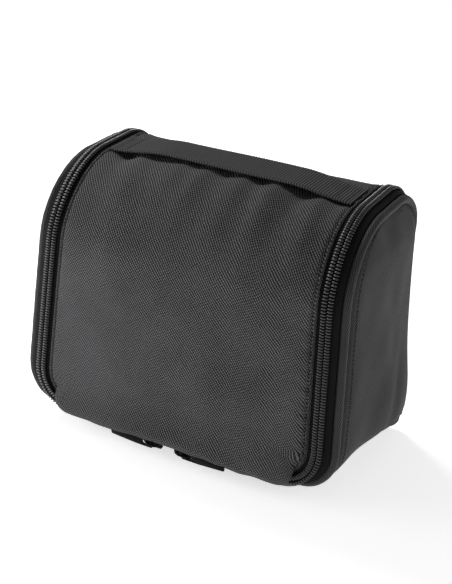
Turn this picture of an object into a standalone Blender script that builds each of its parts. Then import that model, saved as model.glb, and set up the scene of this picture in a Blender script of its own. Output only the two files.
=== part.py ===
"""Hanging toiletry bag: a soft zipped wash bag with a lift-up front flap and a stowed hook.

Frame: origin on the table under the middle of the base, +X to the bag's right, -Y to its front,
+Z up. Lengths are metres. The bag has two main pieces of cloth. A wrap runs up the front, over
the top and down the back; a band runs down one side, under the base and up the other side.
A piped seam joins them. A U-shaped zip cuts the wrap, so that its front and top lift as a flap.

The wrap's side view is a curve. A place on the wrap is (x, s, n): x across the bag, s the length
along that curve from under the front edge, and n the height above it, outwards.
"""

import math

import bpy
import numpy as np
from mathutils import Matrix, Vector

# Body, measured at the level of the zip tape (the wrap curve).
FRONT_FOOT_Y = -0.0644       # front of the wrap at the base
FRONT_LEAN = 0.0085          # how far the front's top corner sits behind its foot
BACK_Y = 0.0643
BOTTOM_Z = -0.00105          # the wrap curve runs just under the table, where no cloth is
TOP_Z = 0.1883
RADIUS_FOOT_FRONT = 0.020
RADIUS_FOOT_BACK = 0.009
RADIUS_TOP_FRONT = 0.0543
RADIUS_TOP_BACK = 0.0373

# Seams, seen square on to the wrap.
PIPING_HALF_WIDTH = 0.117    # piping centre from the middle, at the base
TAPER = 0.0094               # how much narrower each side is at the top
TAPER_HEIGHT = 0.176
CORNER_FRONT = 0.0466        # radius of the piping's front bottom corners
CORNER_BACK = 0.0165
PIPING_S = 0.0074            # length along the wrap from under the front edge to the piping
PIPING_S_BACK = 0.0016       # the same at the back
PIPING_DROP = 0.00425        # piping centre below the wrap curve
PIPING_RADIUS = 0.0029
ZIP_INSET = 0.0101           # zip centre inside the piping, at the sides
ZIP_LIFT = 0.0097            # how much further inside it is along the bottom
LIFT_FADE = 3                # how fast that extra fades out round the corners
SEAM_GAP = 0.0004            # clear gap between sewn neighbours
SEAM_CLEAR = PIPING_RADIUS + SEAM_GAP
BACK_HEM_INSET = 0.0070      # back panel's lower edge from the piping, round the tight corner

# Cloth layers.
TAPE_HALF = 0.00035
SHELL = 0.0020
LINING = 0.0007
FOAM = 0.0010
MESH_CLOTH = 0.0007
PANEL_EDGE = 0.0064          # panel's folded edge from the zip centre
FOAM_INSET = 0.0125          # foam's edge from the zip centre
LINING_INSET = 0.0012        # flap lining's edge from the zip centre
FRONT_BULGE = 0.0040
BULGE_START = 0.030          # length along the wrap where the front starts to swell
BULGE_RUN = 0.060
BULGE_TOP_Z = 0.176
BULGE_TOP_RUN = 0.050
SIDE_BULGE = 0.0020
SIDE_PUSH = 0.0012           # side cloth outside the piping's centre
BASE_SEAM_TURN = math.radians(40)    # where round the corner the base meets the sides
BASE_SEAM_GAP = math.radians(0.6)
STATION = 0.012              # most length between rows on the round corners
CORNER_STEPS = 11            # stops round each front bottom corner

# Pockets.
FLAP_POCKET = (0.112, 0.164)     # from and to, along the wrap
FLAP_POCKET_HALF_WIDTH = 0.080
BACK_POCKET = (0.135, 0.062)     # bottom and mouth, down from the fold
BACK_POCKET_HALF_WIDTH = 0.088
ELASTIC_WIDTH = 0.0094
POCKET_GAP = 0.0006

# Zip.
ZIP_SPLIT = 0.0002           # half the gap between the two sides
TAPE_REACH = 0.0120          # inner tape's width under the flap
COIL_HALF_WIDTH = 0.0041
COIL_LOW = 0.0007
COIL_HIGH = 0.0032
END_TAB_GAP = 0.0012
END_TAB_LENGTH = 0.0095
END_TAB_HALF_WIDTH = 0.0075
END_TAB_HEIGHT = 0.0018
END_TAB_THICK = 0.0014
STOP_BEFORE_FOLD = 0.0006    # flap cloth and zip end this far before the fold axis
FOLD_ANGLE = math.radians(55)    # where on the top back corner the flap folds
FOLD_RISE = 0.0037           # fold axis above the wrap curve, clear of the coils

# Sliders and pullers, along the straight bottom stretch.
SLIDER_LENGTH = 0.0140
SLIDER_START = 0.0048
SLIDER_LOW = 0.0036
SLIDER_PLATE = 0.0014
SLIDER_WIDE = 0.0066
SLIDER_NARROW = 0.0056
BAIL_LEG_X = 0.0040
BAIL_Y = -0.0028             # from the zip centre
BAIL_HEIGHT = 0.0032
BAIL_BAR = 0.0011
BAIL_WIDTH = 0.0018
PULLER_LENGTH = 0.0320
PULLER_WIDTH = 0.0074
PULLER_TIP_WIDTH = 0.0048
PULLER_THICK = 0.0012
PULLER_HOLE = (0.0062, 0.0030)

# Handle webbing.
HANDLE_FRONT_Y = -0.0085
HANDLE_WIDTH = 0.0300
HANDLE_THICK = 0.0018
HANDLE_RISE = 0.0055
HANDLE_STEEP = 2.6           # how soon from its ends the arch reaches its full rise
HANDLE_STEPS = 18
HANDLE_END_INSET = 0.0092    # from the zip centre

# Hook inside the flap.
HOOK_PIVOT_Z = 0.0740
HOOK_BAR_RADIUS = 0.0019
HOOK_WIRE_RADIUS = 0.0023
HOOK_BOW_RADIUS = 0.0150
HOOK_SHANK = 0.0130
HOOK_FRAME_HALF = 0.0120
HOOK_CLEAR = 0.0010          # extra room for the bow in front of the lining
TAB_WIDTH = 0.0170
TAB_TAIL = 0.0210
TAB_THICK = 0.0010


def clear_scene():
    for item in list(bpy.data.objects):
        bpy.data.objects.remove(item)


def material(name, colour, roughness, metallic=0.0):
    made = bpy.data.materials.new(name)
    made.use_nodes = True
    shader = made.node_tree.nodes["Principled BSDF"]
    shader.inputs["Base Color"].default_value = (*colour, 1.0)
    shader.inputs["Roughness"].default_value = roughness
    shader.inputs["Metallic"].default_value = metallic
    return made


def unit(vector):
    return np.asarray(vector, float) / np.linalg.norm(vector)


class Wrap:
    """The wrap's side view: straight runs and round corners, evaluated by length."""

    def __init__(self):
        corners = [
            (FRONT_FOOT_Y, BOTTOM_Z),
            (FRONT_FOOT_Y + FRONT_LEAN, TOP_Z),
            (BACK_Y, TOP_Z),
            (BACK_Y, BOTTOM_Z),
        ]
        radii = [RADIUS_FOOT_FRONT, RADIUS_TOP_FRONT, RADIUS_TOP_BACK, RADIUS_FOOT_BACK]
        ends = [np.array((0.0, BOTTOM_Z)), np.array((0.001, BOTTOM_Z))]
        points = [ends[0]] + [np.array(corner) for corner in corners] + [ends[1]]
        self.pieces = []
        start = points[0]
        for i, radius in enumerate(radii):
            before, corner, after = points[i], points[i + 1], points[i + 2]
            back, on = unit(before - corner), unit(after - corner)
            half = math.acos(float(back @ on)) / 2
            reach = radius / math.tan(half)
            centre = corner + unit(back + on) * radius / math.sin(half)
            enter = corner + back * reach
            self.add_line(start, enter)
            self.add_arc(centre, radius, enter, math.pi - 2 * half)
            start = corner + on * reach
        self.add_line(start, points[-1])
        # Length is counted from where the front foot corner begins.
        self.zero = self.pieces[1]["from"]
        self.fold = self.pieces[5]["from"] - self.zero + RADIUS_TOP_BACK * FOLD_ANGLE
        self.foot_back = self.pieces[7]["from"] + self.pieces[7]["length"] - self.zero

    def add_line(self, start, end):
        length = float(np.linalg.norm(end - start))
        self.add({"kind": "line", "start": start, "way": unit(end - start), "length": length})

    def add_arc(self, centre, radius, enter, turn):
        spoke = enter - centre
        angle = math.atan2(spoke[1], spoke[0])
        self.add({"kind": "arc", "centre": centre, "radius": radius, "angle": angle,
                  "length": radius * turn})

    def add(self, piece):
        last = self.pieces[-1] if self.pieces else None
        piece["from"] = last["from"] + last["length"] if last else 0.0
        self.pieces.append(piece)

    def at(self, s, n=0.0):
        """(y, z) at length s along the curve and height n above it."""
        point, normal = self.point_normal(s)
        return point + normal * n

    def point_normal(self, s):
        along = s + self.zero
        piece = self.pieces[0]
        for candidate in self.pieces:
            if candidate["from"] <= along:
                piece = candidate
        into = along - piece["from"]
        if piece["kind"] == "line":
            way = piece["way"]
            return piece["start"] + way * into, np.array((way[1] * -1, way[0]))
        angle = piece["angle"] - into / piece["radius"]
        spoke = np.array((math.cos(angle), math.sin(angle)))
        return piece["centre"] + spoke * piece["radius"], spoke

    def breaks(self, start, end, most):
        """Lengths from start to end, with a stop at each corner's ends and at most `most` apart."""
        stops = [start, end]
        for piece in self.pieces:
            edge = piece["from"] - self.zero
            if start + 0.001 < edge < end - 0.001:
                stops.append(edge)
        stops = sorted(stops)
        out = [start]
        for a, b in zip(stops, stops[1:]):
            middle, _ = self.point_normal((a + b) / 2)
            curved = self.curved((a + b) / 2)
            step = most * curved if curved else most * 2
            count = max(1, math.ceil((b - a) / step))
            out += [a + (b - a) * (k + 1) / count for k in range(count)]
        return out

    def curved(self, s):
        along = s + self.zero
        found = None
        for piece in self.pieces:
            if piece["from"] <= along:
                found = piece
        if found["kind"] == "line":
            return 0.0
        return 0.55 if found["radius"] < 0.03 else 1.0


def half_width(z):
    """Piping centre from the middle plane at height z."""
    return PIPING_HALF_WIDTH - TAPER * (z - 0.008) / TAPER_HEIGHT


def corner_centre(wrap, inset_s, radius):
    """x of the centre of a bottom corner whose top end is inset_s + radius along the wrap."""
    return half_width(wrap.at(inset_s + radius)[1]) - radius


def lift(inset):
    """Extra inset along the bottom of an outline that runs `inset` inside the front piping."""
    return ZIP_LIFT * min(inset / ZIP_INSET, 1.0)


def outline_x(wrap, s, inset):
    """Half width at length s of the outline that runs `inset` inside the front piping."""
    corner_top = PIPING_S + CORNER_FRONT
    if s >= corner_top:
        return half_width(wrap.at(s)[1]) - inset
    centre = corner_centre(wrap, PIPING_S, CORNER_FRONT)
    radius = CORNER_FRONT - inset
    low, high = 0.0, 1.0
    for _ in range(40):
        rise = (low + high) / 2
        if radius * rise - lift(inset) * rise ** LIFT_FADE < corner_top - s:
            low = rise
        else:
            high = rise
    return centre + radius * math.sqrt(1 - rise * rise)


def side_path(wrap, inset, last_s, most):
    """(x, s, inward x, inward s) along an outline: base middle, corner, side, up to last_s."""
    centre_x = corner_centre(wrap, PIPING_S, CORNER_FRONT)
    centre_s = PIPING_S + CORNER_FRONT
    radius = CORNER_FRONT - inset
    path = [(centre_x * k / 2, centre_s - radius + lift(inset), 0.0, 1.0) for k in range(2)]
    for k in range(CORNER_STEPS):
        turn = math.pi / 2 * k / (CORNER_STEPS - 1)
        out_x, down_s = math.sin(turn), math.cos(turn)
        drop = radius * down_s - lift(inset) * down_s ** LIFT_FADE
        path.append((centre_x + radius * out_x, centre_s - drop, -out_x, down_s))
    for s in wrap.breaks(centre_s, last_s, most)[1:]:
        path.append((half_width(wrap.at(s)[1]) - inset, s, -1.0, 0.0))
    return path


def mesh_object(name, points, faces, skin):
    mesh = bpy.data.meshes.new(name)
    mesh.from_pydata([tuple(map(float, p)) for p in points], [], faces)
    mesh.update()
    volume = 0.0
    for face in faces:
        corners = [np.asarray(points[i], float) for i in face]
        for b, c in zip(corners[1:], corners[2:]):
            volume += float(np.dot(corners[0], np.cross(b, c)))
    if volume < 0:
        mesh.flip_normals()
    made = bpy.data.objects.new(name, mesh)
    bpy.context.collection.objects.link(made)
    mesh.materials.append(skin)
    mesh.shade_smooth()
    mesh.set_sharp_from_angle(angle=math.radians(40))
    return made


def loft(name, rings, skin):
    """Closed body through equal rings of points, with flat end caps."""
    count = len(rings[0])
    points = [p for ring in rings for p in ring]
    faces = []
    for r in range(len(rings) - 1):
        for i in range(count):
            j = (i + 1) % count
            a, b = r * count, (r + 1) * count
            faces.append((a + i, a + j, b + j, b + i))
    last = (len(rings) - 1) * count
    faces.append(tuple(reversed(range(count))))
    faces.append(tuple(last + i for i in range(count)))
    return mesh_object(name, points, faces, skin)


def grid_normals(grid):
    along = np.gradient(grid, axis=0)
    across = np.gradient(grid, axis=1)
    normals = np.cross(along, across)
    return normals / np.linalg.norm(normals, axis=2)[:, :, None]


def cloth(name, grid, thick, skin, sink=0.0):
    """Closed sheet whose outer face is the grid moved in by sink, with its thickness inwards."""
    grid = np.asarray(grid, float)
    normals = grid_normals(grid)
    middle = np.array((0.0, 0.0, 0.09))
    if ((grid - middle) * normals).sum() < 0:
        normals = -normals
    outer = grid - normals * sink
    inner = grid - normals * (sink + thick)
    rows, columns = grid.shape[:2]
    points = list(outer.reshape(-1, 3)) + list(inner.reshape(-1, 3))
    total = rows * columns

    def cell(r, c):
        return r * columns + c

    faces = []
    for r in range(rows - 1):
        for c in range(columns - 1):
            quad = (cell(r, c), cell(r, c + 1), cell(r + 1, c + 1), cell(r + 1, c))
            faces.append(quad)
            faces.append(tuple(total + i for i in reversed(quad)))
    border = [cell(0, c) for c in range(columns)]
    border += [cell(r, columns - 1) for r in range(1, rows)]
    border += [cell(rows - 1, c) for c in range(columns - 2, -1, -1)]
    border += [cell(r, 0) for r in range(rows - 2, 0, -1)]
    for a, b in zip(border, border[1:] + border[:1]):
        faces.append((b, a, total + a, total + b))
    return mesh_object(name, points, faces, skin)


def ease(value):
    value = min(max(value, 0.0), 1.0)
    return value * value * (3 - 2 * value)


def wrap_grid(wrap, rows, columns, edge, height):
    """Grid on the wrap: edge(s) is the half width at s, height(x, s, reach) the height n."""
    grid = []
    for s in rows:
        reach = edge(s)
        line = []
        for k in range(columns + 1):
            x = reach * (2 * k / columns - 1)
            y, z = wrap.at(s, height(x, s, reach))
            line.append((x, y, z))
        grid.append(line)
    return grid


def zip_sweep(wrap, name, section, skin, last_s):
    """Sweeps a section round the zip's U: (towards the flap, height, share of the lift)."""
    rings = []
    half = side_path(wrap, ZIP_INSET, last_s, STATION)
    path = [(-1, step) for step in half[::-1]] + [(1, step) for step in half[1:]]
    for side, (x, s, in_x, in_s) in path:
        ring = []
        for towards, n, share in section:
            y, z = wrap.at(s + towards * in_s - share * ZIP_LIFT * in_s ** LIFT_FADE, n)
            ring.append((side * (x + towards * in_x), y, z))
        rings.append(ring)
    return loft(name, rings, skin)


def band_rows(wrap, start_turn, end_turn, side, corner_steps, side_steps):
    """Rows of the side-and-base band from front to back, each (front, back, out x, out z)."""
    clear = SEAM_CLEAR
    front_x = corner_centre(wrap, PIPING_S, CORNER_FRONT)
    front_z = wrap.at(PIPING_S + CORNER_FRONT)[1]
    back_x = half_width(CORNER_BACK) - CORNER_BACK
    piping_z = wrap.at(PIPING_S, -PIPING_DROP)[1]
    back_piping_z = wrap.at(wrap.foot_back - PIPING_S_BACK, -PIPING_DROP)[1]
    back_y = BACK_Y - PIPING_DROP
    back_z = back_piping_z + CORNER_BACK
    rows = []

    def out_by(turn, seam_z):
        return seam_z + (SIDE_PUSH - seam_z) * ease(turn / (math.pi / 2))

    turns = np.linspace(start_turn, min(end_turn, math.pi / 2), corner_steps)
    for turn in turns:
        out_x, out_z = math.sin(turn), -math.cos(turn)
        s = PIPING_S + CORNER_FRONT * (1 - math.cos(turn))
        y, z = wrap.at(s, -PIPING_DROP)
        push = out_by(turn, piping_z)
        front = (front_x + CORNER_FRONT * out_x + push * out_x, y + clear, z + push * out_z)
        push = out_by(turn, back_piping_z)
        back_rise = back_z - CORNER_BACK * math.cos(turn)
        tuck = (RADIUS_FOOT_BACK - PIPING_DROP) * (1 - math.sin(turn))
        back = (back_x + (CORNER_BACK + push) * out_x, back_y - tuck - clear,
                back_rise + push * out_z)
        rows.append((front, back, out_x, out_z))
    if end_turn > math.pi / 2:
        samples = np.linspace(PIPING_S, wrap.foot_back, 900)
        line = np.array([wrap.at(s, -PIPING_DROP - clear) for s in samples])
        top = int(np.argmax(line[:, 1] > line[:, 1].max() - 1e-6))
        top_z = line[top, 1]
        last = int(np.max(np.nonzero(line[:, 1] > top_z - 2e-5)))
        rise = line[:top + 1]
        fall = line[last:][::-1]
        for k in range(1, side_steps + 1):
            part = math.sin(math.pi / 2 * k / side_steps) ** 0.9
            z_front = front_z + (top_z - front_z) * part
            z_back = back_z + (top_z - back_z) * part
            y_front = np.interp(z_front, rise[:, 1], rise[:, 0])
            y_back = np.interp(z_back, fall[:, 1], fall[:, 0])
            rows.append(((half_width(z_front) + SIDE_PUSH, y_front, z_front),
                         (half_width(z_back) + SIDE_PUSH, y_back, z_back), 1.0, 0.0))
    return [tuple((side * f[0], f[1], f[2]) if i < 2 else f for i, f in enumerate(row))
            for row in rows]


def band_grid(rows, columns, side):
    grid = []
    for k, (front, back, out_x, out_z) in enumerate(rows):
        swell = SIDE_BULGE * out_x * math.sin(math.pi * min(1.0, k / (len(rows) - 1)))
        line = []
        for c in range(columns + 1):
            w = c / columns
            push = swell * math.sin(math.pi * w)
            point = np.array(front) * (1 - w) + np.array(back) * w
            line.append(point + np.array((side * push * out_x, 0, push * out_z)))
        grid.append(line)
    return grid


def make_band(wrap, skins):
    """Two side gussets, the base between them, and one lining inside all three."""
    seam, gap = BASE_SEAM_TURN, BASE_SEAM_GAP
    sides = {}
    for side, name in ((-1, "gusset_left"), (1, "gusset_right")):
        rows = band_rows(wrap, seam + gap, math.pi, side, 5, 9)
        sides[side] = band_grid(rows, 6, side)
        cloth(name, sides[side], SHELL, skins["gusset_fabric"])
    left = band_rows(wrap, 0.0, seam - gap, -1, 5, 0)
    right = band_rows(wrap, 0.0, seam - gap, 1, 5, 0)
    base = band_grid(left[::-1], 6, -1) + band_grid(right, 6, 1)
    cloth("base_panel", base, SHELL, skins["gusset_fabric"])
    whole = sides[-1][::-1] + base + sides[1]
    cloth("body_lining", whole, LINING, skins["lining_fabric"], sink=SHELL + SEAM_GAP)


def make_piping(wrap, skin):
    """One piped cord a side: base middle, up the front, over the top, down the back."""
    end_s = wrap.foot_back - PIPING_S_BACK
    for side, name in ((-1, "piping_left"), (1, "piping_right")):
        path = [(x, s) for x, s, _, _ in side_path(wrap, 0.0, end_s - CORNER_BACK, STATION)]
        back_x = half_width(wrap.at(end_s - CORNER_BACK)[1]) - CORNER_BACK
        for k in range(1, 6):
            turn = math.pi / 2 * k / 5
            path.append((back_x + CORNER_BACK * math.cos(turn),
                         end_s - CORNER_BACK * (1 - math.sin(turn))))
        path.append((0.0002, end_s))
        path[0] = (0.0002, path[0][1])
        line = [Vector((side * x, *wrap.at(s, -PIPING_DROP))) for x, s in path]
        tube(name, line, PIPING_RADIUS, 8, skin, square=Vector((side, 0, 0)))


def tube(name, line, radius, sides, skin, square=None):
    """Round bar along a line of points; square fixes the way both ends face."""
    ways = []
    for i in range(len(line)):
        ways.append((line[min(i + 1, len(line) - 1)] - line[max(i - 1, 0)]).normalized())
    if square is not None:
        ways[0], ways[-1] = square, -square
    first = ways[0].orthogonal().normalized()
    rings, turned = [], first
    for i, way in enumerate(ways):
        if i:
            turned = ways[i - 1].rotation_difference(way) @ turned
        other = way.cross(turned)
        ring = []
        for k in range(sides):
            angle = 2 * math.pi * (k + 0.5) / sides
            ring.append(line[i] + turned * radius * math.cos(angle) + other * radius * math.sin(angle))
        rings.append(ring)
    return loft(name, rings, skin)


def make_back(wrap, skins):
    """Back panel from the fold down to the base seam, its lining and a mesh pocket."""
    top = wrap.fold + STOP_BEFORE_FOLD
    end = wrap.foot_back - PIPING_S_BACK
    low = end - CORNER_BACK
    last = end - BACK_HEM_INSET

    def edge(s):
        if s < low:
            return half_width(wrap.at(s)[1]) - SEAM_CLEAR
        radius = CORNER_BACK - SEAM_CLEAR
        drop = min((s - low) / (last - low), 1.0)
        centre = half_width(wrap.at(low)[1]) - CORNER_BACK
        return centre + radius * math.sqrt(1 - drop * drop)

    def height(x, s, reach):
        inside = ease((reach - abs(x)) / 0.014) * ease((end - s) / 0.02)
        return -0.0022 + 0.0022 * inside

    rows = wrap.breaks(top, low, STATION)
    rows += [low + (last - low) * math.sin(math.pi / 2 * k / 5) for k in range(1, 6)]
    grid = wrap_grid(wrap, rows, 8, edge, height)
    cloth("back_panel", grid, SHELL, skins["front_fabric"])
    cloth("back_lining", wrap_grid(wrap, rows[:-4], 8, lambda s: edge(s) - 0.0035, height),
          LINING, skins["lining_fabric"], sink=SHELL + SEAM_GAP)
    low, high = (wrap.fold + down for down in BACK_POCKET)
    pocket_sink = SHELL + LINING + 3 * SEAM_GAP

    def pocket_edge(s):
        return BACK_POCKET_HALF_WIDTH

    pocket = wrap_grid(wrap, np.linspace(high, low, 4), 6, pocket_edge, height)
    cloth("back_mesh_pocket", pocket, MESH_CLOTH, skins["mesh"], sink=pocket_sink)
    hem_rows = np.linspace(high - ELASTIC_WIDTH - POCKET_GAP, high - POCKET_GAP, 3)
    hem = wrap_grid(wrap, hem_rows, 6, pocket_edge, height)
    cloth("back_pocket_elastic", hem, 2 * MESH_CLOTH, skins["elastic"], sink=pocket_sink)


def flap_bulge(wrap, x, s):
    """How far the front swells: most in the middle of the front, none at the edges."""
    reach = outline_x(wrap, s, ZIP_INSET + PANEL_EDGE)
    rise = ease((s - BULGE_START) / BULGE_RUN)
    rise *= ease((BULGE_TOP_Z - wrap.at(s)[1]) / BULGE_TOP_RUN)
    return FRONT_BULGE * rise * max(0.0, 1 - (x / reach) ** 2)


def make_flap(wrap, skins):
    """Front-and-top panel with its foam, lining, mesh pocket and pocket elastic."""
    end = wrap.fold - STOP_BEFORE_FOLD

    def layer(name, inset, base, thick, skin, columns, start_s=None, end_s=None, width=None):
        low = start_s or PIPING_S + inset + lift(inset)
        high = end_s or end
        corner_top = PIPING_S + CORNER_FRONT
        rows = []
        if low < corner_top:
            radius = corner_top - low
            rows = [corner_top - radius * math.cos(math.pi / 2 * k / 8) for k in range(8)]
        rows += wrap.breaks(max(low, corner_top), high, STATION)

        def edge(s):
            return min(outline_x(wrap, s, inset), width or 1.0)

        def height(x, s, reach):
            return base + flap_bulge(wrap, x, s)

        return cloth(name, wrap_grid(wrap, rows, columns, edge, height), thick, skin)

    edge = ZIP_INSET + PANEL_EDGE
    panel_low = TAPE_HALF + SEAM_GAP
    layer("flap_panel", edge, panel_low + SHELL, SHELL, skins["front_fabric"], 10)
    layer("flap_foam", ZIP_INSET + FOAM_INSET, panel_low - SEAM_GAP, FOAM, skins["foam"], 8)
    lining_top = -TAPE_HALF - 2 * SEAM_GAP
    layer("flap_lining", ZIP_INSET + LINING_INSET, lining_top, LINING, skins["lining_fabric"], 8)
    pocket_top = lining_top - LINING - 2 * SEAM_GAP
    low, high = FLAP_POCKET
    layer("flap_mesh_pocket", ZIP_INSET, pocket_top, MESH_CLOTH, skins["mesh"], 8,
          start_s=low, end_s=high, width=FLAP_POCKET_HALF_WIDTH)
    layer("flap_pocket_elastic", ZIP_INSET, pocket_top, 2 * MESH_CLOTH, skins["elastic"], 8,
          start_s=high + POCKET_GAP, end_s=high + POCKET_GAP + ELASTIC_WIDTH,
          width=FLAP_POCKET_HALF_WIDTH)
    return lining_top - LINING


def make_zip(wrap, skins):
    """Two tapes and two coils: the inner pair lifts with the flap, the outer pair stays."""
    last = wrap.fold - STOP_BEFORE_FOLD
    t = TAPE_HALF
    across = [ZIP_SPLIT, 0.0030, 0.0060, 0.0090, TAPE_REACH]
    inner_tape = [(w, -t, 0) for w in across] + [(w, t, 0) for w in across[::-1]]
    seam_in = -ZIP_INSET + SEAM_CLEAR * 0.62
    seam_n = -PIPING_DROP + SEAM_CLEAR * 1.02
    outer_tape = [(-ZIP_SPLIT, t, 0), (-0.0047, t, 0), (seam_in - 0.0003, seam_n + 0.0003, 1),
                  (seam_in + 0.0003, seam_n - 0.0003, 1), (-0.0044, -t, 0), (-ZIP_SPLIT, -t, 0)]
    zip_sweep(wrap, "zip_tape_flap_side", inner_tape, skins["tape"], last)
    zip_sweep(wrap, "zip_tape_body_side", outer_tape, skins["tape"], last)
    low, high, wide = COIL_LOW, COIL_HIGH, COIL_HALF_WIDTH
    shoulder = 0.0008
    for sign, name in ((1, "zip_coil_flap_side"), (-1, "zip_coil_body_side")):
        section = [(ZIP_SPLIT, low), (wide, low), (wide, high - shoulder),
                   (wide - shoulder, high), (ZIP_SPLIT + 0.0003, high), (ZIP_SPLIT, high - 0.0003)]
        zip_sweep(wrap, name, [(sign * a, b, 0) for a, b in section], skins["coil"], last)
    for side, name in ((-1, "zip_end_tab_left"), (1, "zip_end_tab_right")):
        rows = [wrap.fold + END_TAB_GAP + END_TAB_LENGTH * k / 3 for k in range(4)]
        centre = half_width(wrap.at(wrap.fold)[1]) - ZIP_INSET

        def line(s):
            return [(side * (centre + END_TAB_HALF_WIDTH * w), *wrap.at(s, END_TAB_HEIGHT))
                    for w in (-1, 0, 1)]

        cloth(name, [line(s) for s in rows], END_TAB_THICK, skins["tape"])


def zip_frame(wrap):
    """Frame of the zip's straight bottom stretch: columns X, towards the flap, outwards."""
    s = PIPING_S + ZIP_INSET + ZIP_LIFT
    point, normal = wrap.point_normal(s)
    out = Vector((0, normal[0], normal[1]))
    across = out.cross(Vector((1, 0, 0)))
    if across.z < 0:
        across = -across
    place = Matrix.Identity(4)
    for i, axis in enumerate((Vector((1, 0, 0)), across, out)):
        place.col[i] = (*axis, 0)
    place.col[3] = (0, point[0], point[1], 1)
    return place


def prism(name, outline, low, high, skin):
    """Upright prism of a flat outline."""
    return loft(name, [[(x, y, z) for x, y in outline] for z in (low, high)], skin)


def box_between(name, low, high, skin):
    outline = [(low[0], low[1]), (high[0], low[1]), (high[0], high[1]), (low[0], high[1])]
    return prism(name, outline, low[2], high[2], skin)


def combine(target, tool, operation):
    """Applies an exact Boolean with the tool, and removes the tool."""
    cut = target.modifiers.new(operation.lower(), "BOOLEAN")
    cut.operation = operation
    cut.solver = "EXACT"
    cut.object = tool
    view = bpy.context.evaluated_depsgraph_get()
    result = bpy.data.meshes.new_from_object(target.evaluated_get(view))
    target.modifiers.clear()
    target.data = result
    bpy.data.objects.remove(tool)
    target.data.set_sharp_from_angle(angle=math.radians(40))


def make_slider(side, name, frame, skin):
    """Half-open slider: a plate over the body-side coil, a side flange and a bail."""
    nose, tail = SLIDER_START, SLIDER_START + SLIDER_LENGTH
    outline = [(nose, -0.0004), (nose, -SLIDER_WIDE), (tail, -SLIDER_NARROW), (tail, -0.0004)]
    top = SLIDER_LOW + SLIDER_PLATE
    body = prism(name, outline, SLIDER_LOW, top, skin)
    flange = [(nose, -SLIDER_WIDE + 0.0009), (nose, -SLIDER_WIDE),
              (tail, -SLIDER_NARROW), (tail, -SLIDER_NARROW + 0.0002)]
    combine(body, prism("flange", flange, 0.0016, top - 0.0003, skin), "UNION")
    middle_x = (nose + tail) / 2
    middle_y = BAIL_Y
    half = BAIL_WIDTH / 2
    for sign in (-1, 1):
        leg_x = middle_x + sign * BAIL_LEG_X
        leg = box_between("leg", (leg_x - BAIL_BAR / 2, middle_y - half, top - 0.0004),
                          (leg_x + BAIL_BAR / 2, middle_y + half, top + BAIL_HEIGHT), skin)
        combine(body, leg, "UNION")
    reach = BAIL_LEG_X + BAIL_BAR / 2
    bar = box_between("bar", (middle_x - reach, middle_y - half, top + BAIL_HEIGHT - BAIL_BAR),
                      (middle_x + reach, middle_y + half, top + BAIL_HEIGHT + 0.0002), skin)
    combine(body, bar, "UNION")
    body.matrix_world = frame @ Matrix.Diagonal((side, 1, 1, 1))
    settle(body)
    pivot = Vector((side * middle_x, middle_y, top + (BAIL_HEIGHT - BAIL_BAR) / 2 + 0.00005))
    return frame @ pivot


def settle(item):
    """Writes an object's placing into its mesh, and turns a mirrored mesh right side out."""
    placing = item.matrix_world.copy()
    item.data.transform(placing)
    if placing.determinant() < 0:
        item.data.flip_normals()
    item.matrix_world = Matrix.Identity(4)


def make_puller(side, name, frame, pivot, skin):
    """Flat tapered tag with a slot, its end bar under the bail and its tip pointing outwards."""
    start = -PULLER_THICK / 2
    hole_long, hole_wide = PULLER_HOLE
    wide, tip = PULLER_WIDTH / 2, PULLER_TIP_WIDTH / 2
    half = PULLER_THICK / 2
    outline = [(start, -wide + 0.0012), (start + 0.0012, -wide), (0.0120, -wide),
               (PULLER_LENGTH - 0.0015, -tip), (PULLER_LENGTH, -tip + 0.0012)]
    outline += [(x, -y) for x, y in reversed(outline)]
    tag = prism(name, outline, -half, half, skin)
    slot = box_between("slot", (half, -hole_wide / 2, -0.01),
                       (half + hole_long, hole_wide / 2, 0.01), skin)
    combine(tag, slot, "DIFFERENCE")
    placing = frame.copy()
    placing.col[3] = (*pivot, 1)
    tag.matrix_world = placing @ Matrix.Diagonal((side, 1, 1, 1))
    settle(tag)
    tag.data.transform(Matrix.Translation(-pivot))
    tag.location = pivot


def make_handle(wrap, skin):
    """Flat webbing between the two zips, sewn down at its ends and arched between them."""
    top = TOP_Z + TAPE_HALF + SEAM_GAP + SHELL + SEAM_GAP
    half = half_width(TOP_Z) - ZIP_INSET - HANDLE_END_INSET
    low, high = [], []
    for k in range(HANDLE_STEPS + 1):
        x = half * (2 * k / HANDLE_STEPS - 1)
        share = 1 - abs(x) / half
        rise = HANDLE_RISE * ease(share * HANDLE_STEEP)
        low.append((x, top + rise))
        high.append((x, top + rise + HANDLE_THICK))
    outline = low + high[::-1]
    sides = (HANDLE_FRONT_Y, HANDLE_FRONT_Y + HANDLE_WIDTH)
    loft("handle_webbing", [[(x, y, z) for x, z in outline] for y in sides], skin)


def lining_face(wrap, lining_low, z):
    """y of the flap lining's inner face at height z, in the bag's middle."""
    samples = np.linspace(0.03, 0.12, 200)
    line = np.array([wrap.at(s, lining_low + flap_bulge(wrap, 0.0, s)) for s in samples])
    return float(np.interp(z, line[:, 1], line[:, 0]))


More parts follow.
